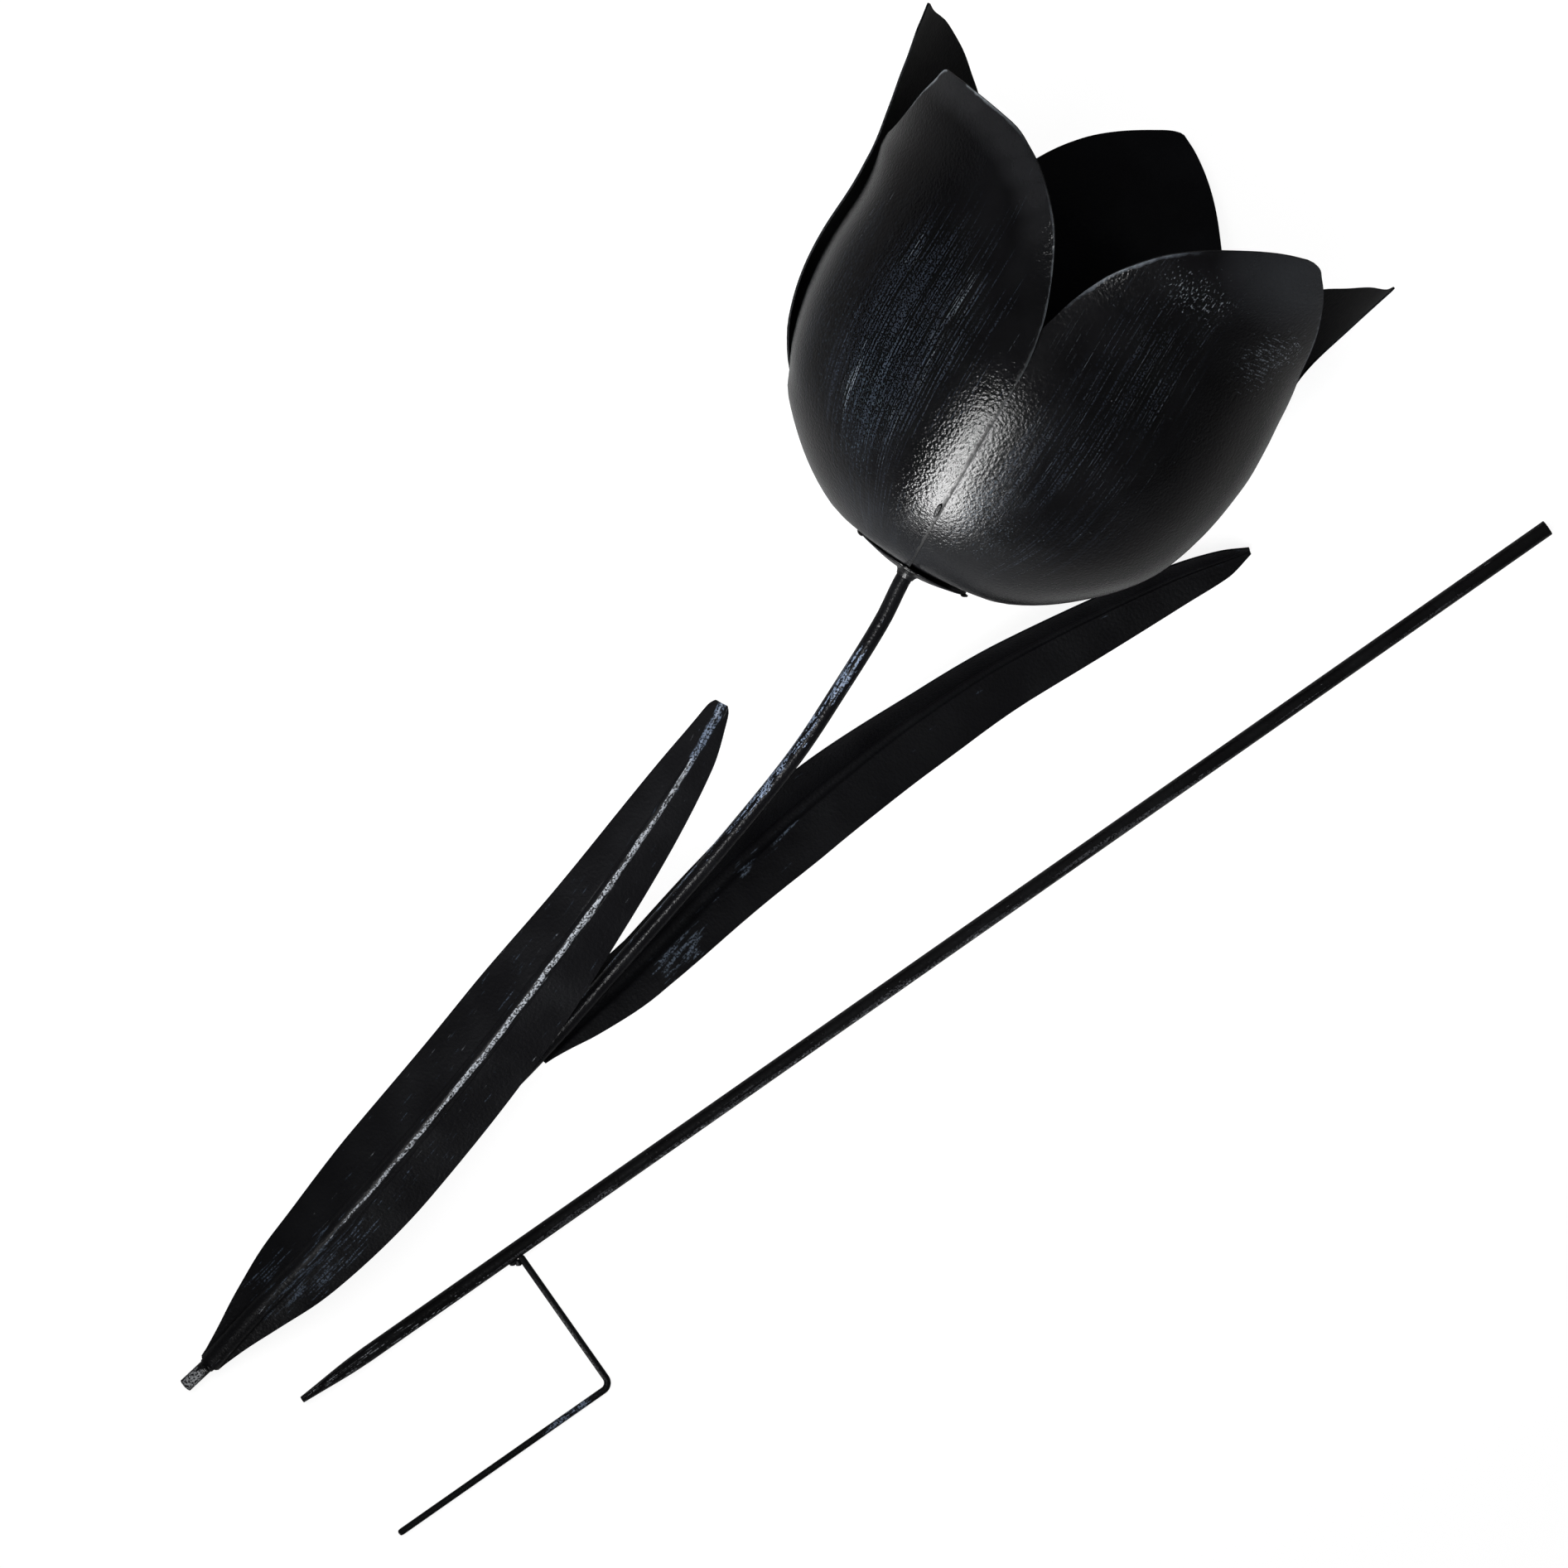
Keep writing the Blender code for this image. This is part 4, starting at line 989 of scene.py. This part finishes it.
stake_stations = [TAPER_LENGTH * k / TAPER_ROWS for k in range(TAPER_ROWS + 1)]
stake_stations += [TAPER_LENGTH + (STAKE_LENGTH - TAPER_LENGTH) * k / STRAIGHT_ROWS
                   for k in range(1, STRAIGHT_ROWS + 1)]
# The grey band along the side the stake lies on is a painted reflection, the bright specks along that
# side are painted highlights, and the specks at its point are nicks in the paint.
stake_paint = enamel(
    "scratched_enamel_stake_painted_sheen", "#0a0a0b", 0.26,
    layers=[(2.5, 60, 0.5, "#4e4f53", [(-2.5, 300, 3.5, 330, 1.2)]),
            (0.7, 14, 0.8, "#8d9196", [(0, 18, 5, 40, 0.7), (-4, 300, 3, 400, 0.4)]),
            (0.8, 2.5, 0.8, "#9b9fa4", [(-3, 60, 2.5, 60, 0.7), (-3, 250, 1.8, 200, 0.65)])], shift=1.5)
finish_piece("stake_tube_rolled", rolled_tube(stake_stations, stake_ring), "stake_tube", "stake_half",
             [stake_paint])

# %% [markdown]
# ## Prong
# A thin rod leaves the stake square to it and turns to run beside it. It keeps the stake from turning
# in the soil. The grid is rolled round the rod's line and its ends close to a dome.

# %% Prong
ROD_RADIUS = 1.4 * MM
PRONG_DISTANCE = 104.7 * MM
PRONG_OFFSET = 66.4 * MM
PRONG_BEND = 3.7 * MM
PRONG_END = 0.7 * MM
PRONG_BEND_STEPS = 12
PRONG_SIDES = 20
PRONG_START = TUBE_RADIUS + SEAT_GAP
# Welded metal has no gap, so the rod and its weld run on until they sink a little into the tube.
PRONG_SINK = 0.4 * MM


def prong_line():
    """Rings along the rod: its middle, a direction square to it and a share of its radius."""
    out = Vector((1, 0, 0))
    rings = []
    start = PRONG_START - PRONG_SINK
    for share, radius in ((0, 0), (0, 0.8), (0.01, 1), (0.5, 1)):
        y = -(start + (PRONG_OFFSET - PRONG_BEND - start) * share)
        rings.append((Vector((PRONG_DISTANCE, y, 0)), out, radius))
    corner = Vector((PRONG_DISTANCE - PRONG_BEND, -(PRONG_OFFSET - PRONG_BEND), 0))
    for k in range(PRONG_BEND_STEPS + 1):
        turn = math.radians(90 * k / PRONG_BEND_STEPS)
        side = Vector((math.cos(turn), -math.sin(turn), 0))
        rings.append((corner + side * PRONG_BEND, side, 1))
    length = corner.x - PRONG_END
    tip = ROD_RADIUS / length
    for share, radius in ((0.5, 1), (1 - tip, 1), (1 - tip * 0.35, 0.86), (1 - tip * 0.08, 0.5), (1, 0)):
        rings.append((Vector((corner.x - length * share, -PRONG_OFFSET, 0)), Vector((0, -1, 0)), radius))
    return rings


def make_prong(paint):
    """The bent rod, riding with the stake."""
    rings = prong_line()
    runs = [0.0]
    for (before, _, _), (after, _, _) in zip(rings, rings[1:]):
        runs.append(runs[-1] + (after - before).length)
    up = Vector((0, 0, 1))

    def spot(across, along):
        ring = round(along * (len(rings) - 1))
        centre, side, radius = rings[ring]
        turn = across * math.tau
        place = STAKE @ (centre + (side * math.cos(turn) + up * math.sin(turn)) * radius * ROD_RADIUS)
        return place, (turn * ROD_RADIUS / MM, runs[ring] / MM)

    bm = bend_grid(PRONG_SIDES, len(rings) - 1, spot)
    close_seams(bm)
    finish_piece("prong_rod_bent", bm, "prong_rod", "stake_half", [paint])


# The prong is plain black rod with an even half gloss, brushed once beside the bend.
prong_paint = enamel("black_enamel_rod", "#0e0f10", 0.28,
                     layers=[(0.9, 7, 0.8, "#76849a", [(2.2, 82, 3, 22, 1.1)])])
make_prong(prong_paint)

# %% [markdown]
# ## Welds
# A tack weld is a small puddle of melted steel: a low lump with ripples where it froze. Each starts as
# an icosphere squashed to the bead's size, and a noise pushes its surface in and out.

# %% Weld beads
RIPPLE_DEPTH = 0.05
RIPPLES = 9
LUMP_SCALE = 2.2
# How quickly finer lumps get weaker, how much finer each kind is, and how many kinds there are
LUMP_FRACTAL = (0.6, 2.0, 3)
# A bead is never more than this much larger than its half sizes.
MOST_PROUD = 1.12
# A fillet is drawn in on its diagonal, and is thickest in its corner.
FILLET_DRAW = 0.5
FILLET_THICK = 0.7
FILLET_SWELL = 0.15


def as_fillet(spot):
    """A ball's spot, squared up to fill the corner at +x +y and drawn in towards that corner."""
    across, along, up = [math.copysign(abs(value) ** 0.5, value) for value in spot]
    near, far = sorted((1 - across, 1 - along))
    pull = 1 - FILLET_DRAW * near / max(far, 1e-6)
    thick = FILLET_THICK + FILLET_SWELL * (across + along)
    return 1 - (1 - across) * pull, 1 - (1 - along) * pull, up * thick


def weld_bead(name, node, body, place, halves, seed, rough=0.22, fillet=False):
    """Lumpy bead with the given half sizes, placed in the world."""
    bm = bmesh.new()
    bmesh.ops.create_icosphere(bm, subdivisions=4, radius=1)
    shift = Vector((seed * 3.7, seed * 1.3, -seed * 2.1))
    for vertex in bm.verts:
        ripple = RIPPLE_DEPTH * math.cos(vertex.co.y * RIPPLES + seed)
        lump = noise.fractal(vertex.co * LUMP_SCALE + shift, *LUMP_FRACTAL) * rough
        vertex.co *= min(1 + lump + ripple, MOST_PROUD)
        if fillet:
            vertex.co = as_fillet(vertex.co)
    bmesh.ops.transform(bm, matrix=place @ Matrix.Diagonal((*halves, 1)), verts=bm.verts)
    finish_piece(name, bm, node, body, [enamel_weld])


def placing(origin, x_axis, y_axis, z_axis):
    """Matrix that puts a bead's middle and its three axes in place."""
    matrix = Matrix((x_axis, y_axis, z_axis)).transposed().to_4x4()
    matrix.translation = origin
    return matrix


# %% [markdown]
# ## Where the welds sit
# Five tacks hold the cup's rim to the petals, one holds the front seam, a ring joins cup and stem, each
# leaf has one below its base, and one joins the prong to the stake. The places follow from the same
# sizes as the pieces that they join.

# %% Rim, seam and stem welds
RIM_WELD_HALF = (1.0 * MM, 3.2 * MM, 0.7 * MM)
SEAM_WELD_HEIGHT = 33 * MM
SEAM_WELD_HALF = (0.9 * MM, 3.6 * MM, 0.45 * MM)
STEM_WELD_REACH = 2.4 * MM
STEM_WELD_STEPS = 6
STEM_WELD_HOLLOW = 0.92
CUP_SLOPE_RUN = 6 * MM
RIM_WELDS = 5
# Degrees from the left petal's edge to the middle of its bead
SEAM_WELD_INSET = 1.5


def bloom_bead(run, heading, halves, lengthways):
    """Placing matrix for a bead on the bloom's outside."""
    centre = on_bloom(bloom_curve.at(run, -SEAT_GAP - halves[2]), heading)
    higher = on_bloom(bloom_curve.at(run + MM, -SEAT_GAP - halves[2]), heading)
    up = (higher - centre).normalized()
    turn = math.radians(heading)
    side = Vector((math.cos(turn), -math.sin(turn), 0))
    if lengthways:
        return FLOWER @ placing(centre, side, up, side.cross(up))
    return FLOWER @ placing(centre, up, side, up.cross(side))


def stem_weld_outline():
    """Section of the ring in the corner between the cup's underside and the stem."""
    inner = TUBE_RADIUS + SEAT_GAP
    cup_under = bloom_curve.at(FIRST_ROW, -SEAT_GAP - SHEET)
    cup_next = bloom_curve.at(CUP_SLOPE_RUN, -SEAT_GAP - SHEET)
    rise = (cup_next.y - cup_under.y) / (cup_next.x - cup_under.x) * STEM_WELD_REACH
    under = cup_under.y - SEAT_GAP
    outline = [(inner, under), (inner + STEM_WELD_REACH, under + rise)]
    for k in range(1, STEM_WELD_STEPS):
        bend = math.radians(90 * k / STEM_WELD_STEPS)
        outwards = STEM_WELD_REACH * (1 - math.sin(bend) * STEM_WELD_HOLLOW)
        sunk = STEM_WELD_REACH * (1 - math.cos(bend))
        outline.append((inner + outwards, under - sunk + rise * (1 - k / (STEM_WELD_STEPS - 1))))
    outline.append((inner, under - STEM_WELD_REACH))
    return outline


beyond_rim = bloom_curve.length_at(0, CUP_RADIUS) + SEAT_GAP + RIM_WELD_HALF[0]
for k in range(RIM_WELDS):
    weld_bead(f"rim_weld_bead_{k + 1}", f"rim_weld_{k + 1}", "flower_half",
              bloom_bead(beyond_rim, 360 * k / RIM_WELDS, RIM_WELD_HALF, False), RIM_WELD_HALF, k + 1)
left_tip, _, _, _, right_edge, _ = PETALS["petal_front_left"]
seam_heading = left_tip - right_edge[-1][1] + SEAM_WELD_INSET
weld_bead("seam_weld_bead", "seam_weld", "flower_half",
          bloom_bead(bloom_curve.length_at(1, SEAM_WELD_HEIGHT), seam_heading, SEAM_WELD_HALF, True),
          SEAM_WELD_HALF, 8)
finish_piece("stem_weld_ring", turned(stem_weld_outline(), 48), "stem_weld", "flower_half",
             [enamel_weld])

# %% [markdown]
# ## Welds on the leaves and the prong
# A leaf's bead lies on the stem just below the leaf's leaning lower edge. The prong's bead fills the
# corner between rod and tube, on the side of the stake's point.

# %% Leaf and prong welds
LEAF_WELD_HALF = (2.2 * MM, 0.8 * MM, 0.9 * MM)
PRONG_WELD_HALF = (2.4 * MM, 1.7 * MM, 1.4 * MM)


def leaf_bead(name):
    """The tack that holds a leaf's base to the stem."""
    base, bends, _, _, _, front = LEAVES[name]
    lean = abs(bends[1][2]) / bends[1][0]
    edge = (TUBE_RADIUS + SEAT_GAP + SHEET) * lean
    height = STEM_BOTTOM + base * MM - edge - SEAT_GAP - LEAF_WELD_HALF[1]
    centre = stem_centre(height)
    along = (stem_centre(height + MM) - centre).normalized()
    out = Vector((0, front, 0))
    centre = centre + out * (TUBE_RADIUS + SEAT_GAP + LEAF_WELD_HALF[2])
    place = FLOWER @ placing(centre, along.cross(out), along, out)
    weld_bead(name + "_bead", name + "_weld", "flower_half", place, LEAF_WELD_HALF, 11 + front)


leaf_bead("leaf_left")
leaf_bead("leaf_right")
prong_weld_x = PRONG_DISTANCE - ROD_RADIUS - SEAT_GAP - PRONG_WELD_HALF[0] + PRONG_SINK
prong_weld_y = -(PRONG_START + PRONG_WELD_HALF[1] - PRONG_SINK)
prong_corner = STAKE @ Matrix.Translation((prong_weld_x, prong_weld_y, 0))
weld_bead("prong_weld_bead", "prong_weld", "stake_half", prong_corner, PRONG_WELD_HALF, 17, rough=0.1,
          fillet=True)

# %% [markdown]
# ## Floor and light
# The photograph's ground is cut out to pure white with hardly a shadow, while the black enamel mirrors
# a dimmer ground. So the floor is a mid grey sheet with a glow of its own that the camera sees in
# full, which together make white, and mirrored rays see only a share of the glow.

# %% Floor
FLOOR_SIZE = 60.0
FLOOR_DROP = 0.1 * MM
FLOOR_GREY = "#808080"
FLOOR_ROUGHNESS = 0.9
FLOOR_GLOW = 0.9
MIRRORED_GLOW = 0.05


def white_floor():
    """Grey paper under a white glow: white to the eye, with the object's shadow left in it."""
    material = bpy.data.materials.new("white_ground")
    material.use_nodes = True
    nodes = material.node_tree.nodes
    shader = nodes["Principled BSDF"]
    shader.inputs["Base Color"].default_value = from_hex(FLOOR_GREY)
    shader.inputs["Roughness"].default_value = FLOOR_ROUGHNESS
    shader.inputs["Specular IOR Level"].default_value = 0.0
    path = add_node(material, "ShaderNodeLightPath", {})
    mirrored = calc(material, "MULTIPLY", path.outputs["Is Glossy Ray"], MIRRORED_GLOW)
    seen = calc(material, "MAXIMUM", path.outputs["Is Camera Ray"], path.outputs["Is Transmission Ray"])
    strength = calc(material, "MULTIPLY_ADD", seen, FLOOR_GLOW, mirrored)
    glow = add_node(material, "ShaderNodeEmission", {"Color": (1, 1, 1, 1), "Strength": strength})
    both = add_node(material, "ShaderNodeAddShader", {0: shader, 1: glow})
    material.node_tree.links.new(both.outputs["Shader"], nodes["Material Output"].inputs["Surface"])
    return material


floor_bm = bmesh.new()
bmesh.ops.create_grid(floor_bm, x_segments=1, y_segments=1, size=FLOOR_SIZE / 2)
bmesh.ops.translate(floor_bm, verts=floor_bm.verts, vec=(0, 0, -FLOOR_DROP))
floor_mesh = bpy.data.meshes.new("floor")
floor_bm.to_mesh(floor_mesh)
floor_bm.free()
floor_mesh.materials.append(white_floor())
floor = bpy.data.objects.new("floor", floor_mesh)
bpy.context.scene.collection.objects.link(floor)

# %% [markdown]
# ## Lamps
# The long highlight on the bloom comes from a tall strip light with a grid, out of the picture beyond
# the stem's lower end. It is built from four boxes on an arc round the highlight, all facing it. The
# grid keeps its light off the floor and the leaves. A wide lamp high above lights everything softly.

# %% Lamps
def soft_box(name, place, aim, width, height, radiance, spread=180.0, in_gloss=True):
    """Area lamp facing a point; radiance is what its face shows straight on, 1 being white."""
    lamp = bpy.data.lights.new(name, "AREA")
    lamp.shape = "RECTANGLE"
    lamp.size = width
    lamp.size_y = height
    lamp.spread = math.radians(spread)
    # A narrower spread makes the same power brighter straight on, so the power comes down with it.
    half = lamp.spread / 2
    lamp.energy = 4 * width * height * radiance * (1 - half / math.tan(half) if spread < 180 else 1)
    item = bpy.data.objects.new(name, lamp)
    item.location = place
    item.rotation_euler = (Vector(place) - Vector(aim)).to_track_quat("Z", "Y").to_euler()
    item.visible_glossy = in_gloss
    bpy.context.scene.collection.objects.link(item)
    print(name, "watts:", round(lamp.energy, 2))


HIGHLIGHT = Vector((0.165, 0.035, 0.15))
BOX_ANGLE = math.radians(18)
# Degrees round the floor, degrees up from the highlight, distance in metres and how bright
STRIP = [(202, -3, 0.68, 26), (200, 15, 0.75, 34), (198, 33, 0.85, 34), (196, 51, 1.0, 22)]
STRIP_WIDTH = 0.22
STRIP_SPREAD = 50
TOP_PLACE = (-0.15, 0.85, 2.2)
TOP_AIM = (0.01, -0.03, 0)
TOP_SIZE = 1.6
TOP_RADIANCE = 3.2
WORLD_GLOW = 0.06

for k, (heading, rise, distance, radiance) in enumerate(STRIP):
    turn = math.radians(heading)
    climb = math.radians(rise)
    away = Vector((math.cos(climb) * math.cos(turn), math.cos(climb) * math.sin(turn), math.sin(climb)))
    soft_box(f"strip_box_{k + 1}", HIGHLIGHT + away * distance, HIGHLIGHT, STRIP_WIDTH * distance,
             2 * distance * math.tan(BOX_ANGLE / 2), radiance, spread=STRIP_SPREAD)
soft_box("top_box", TOP_PLACE, TOP_AIM, TOP_SIZE, TOP_SIZE, TOP_RADIANCE, in_gloss=False)

world = bpy.data.worlds.new("studio")
world.use_nodes = True
world.node_tree.nodes["Background"].inputs["Color"].default_value = (1, 1, 1, 1)
world.node_tree.nodes["Background"].inputs["Strength"].default_value = WORLD_GLOW
bpy.context.scene.world = world
bpy.context.scene.view_settings.view_transform = "Standard"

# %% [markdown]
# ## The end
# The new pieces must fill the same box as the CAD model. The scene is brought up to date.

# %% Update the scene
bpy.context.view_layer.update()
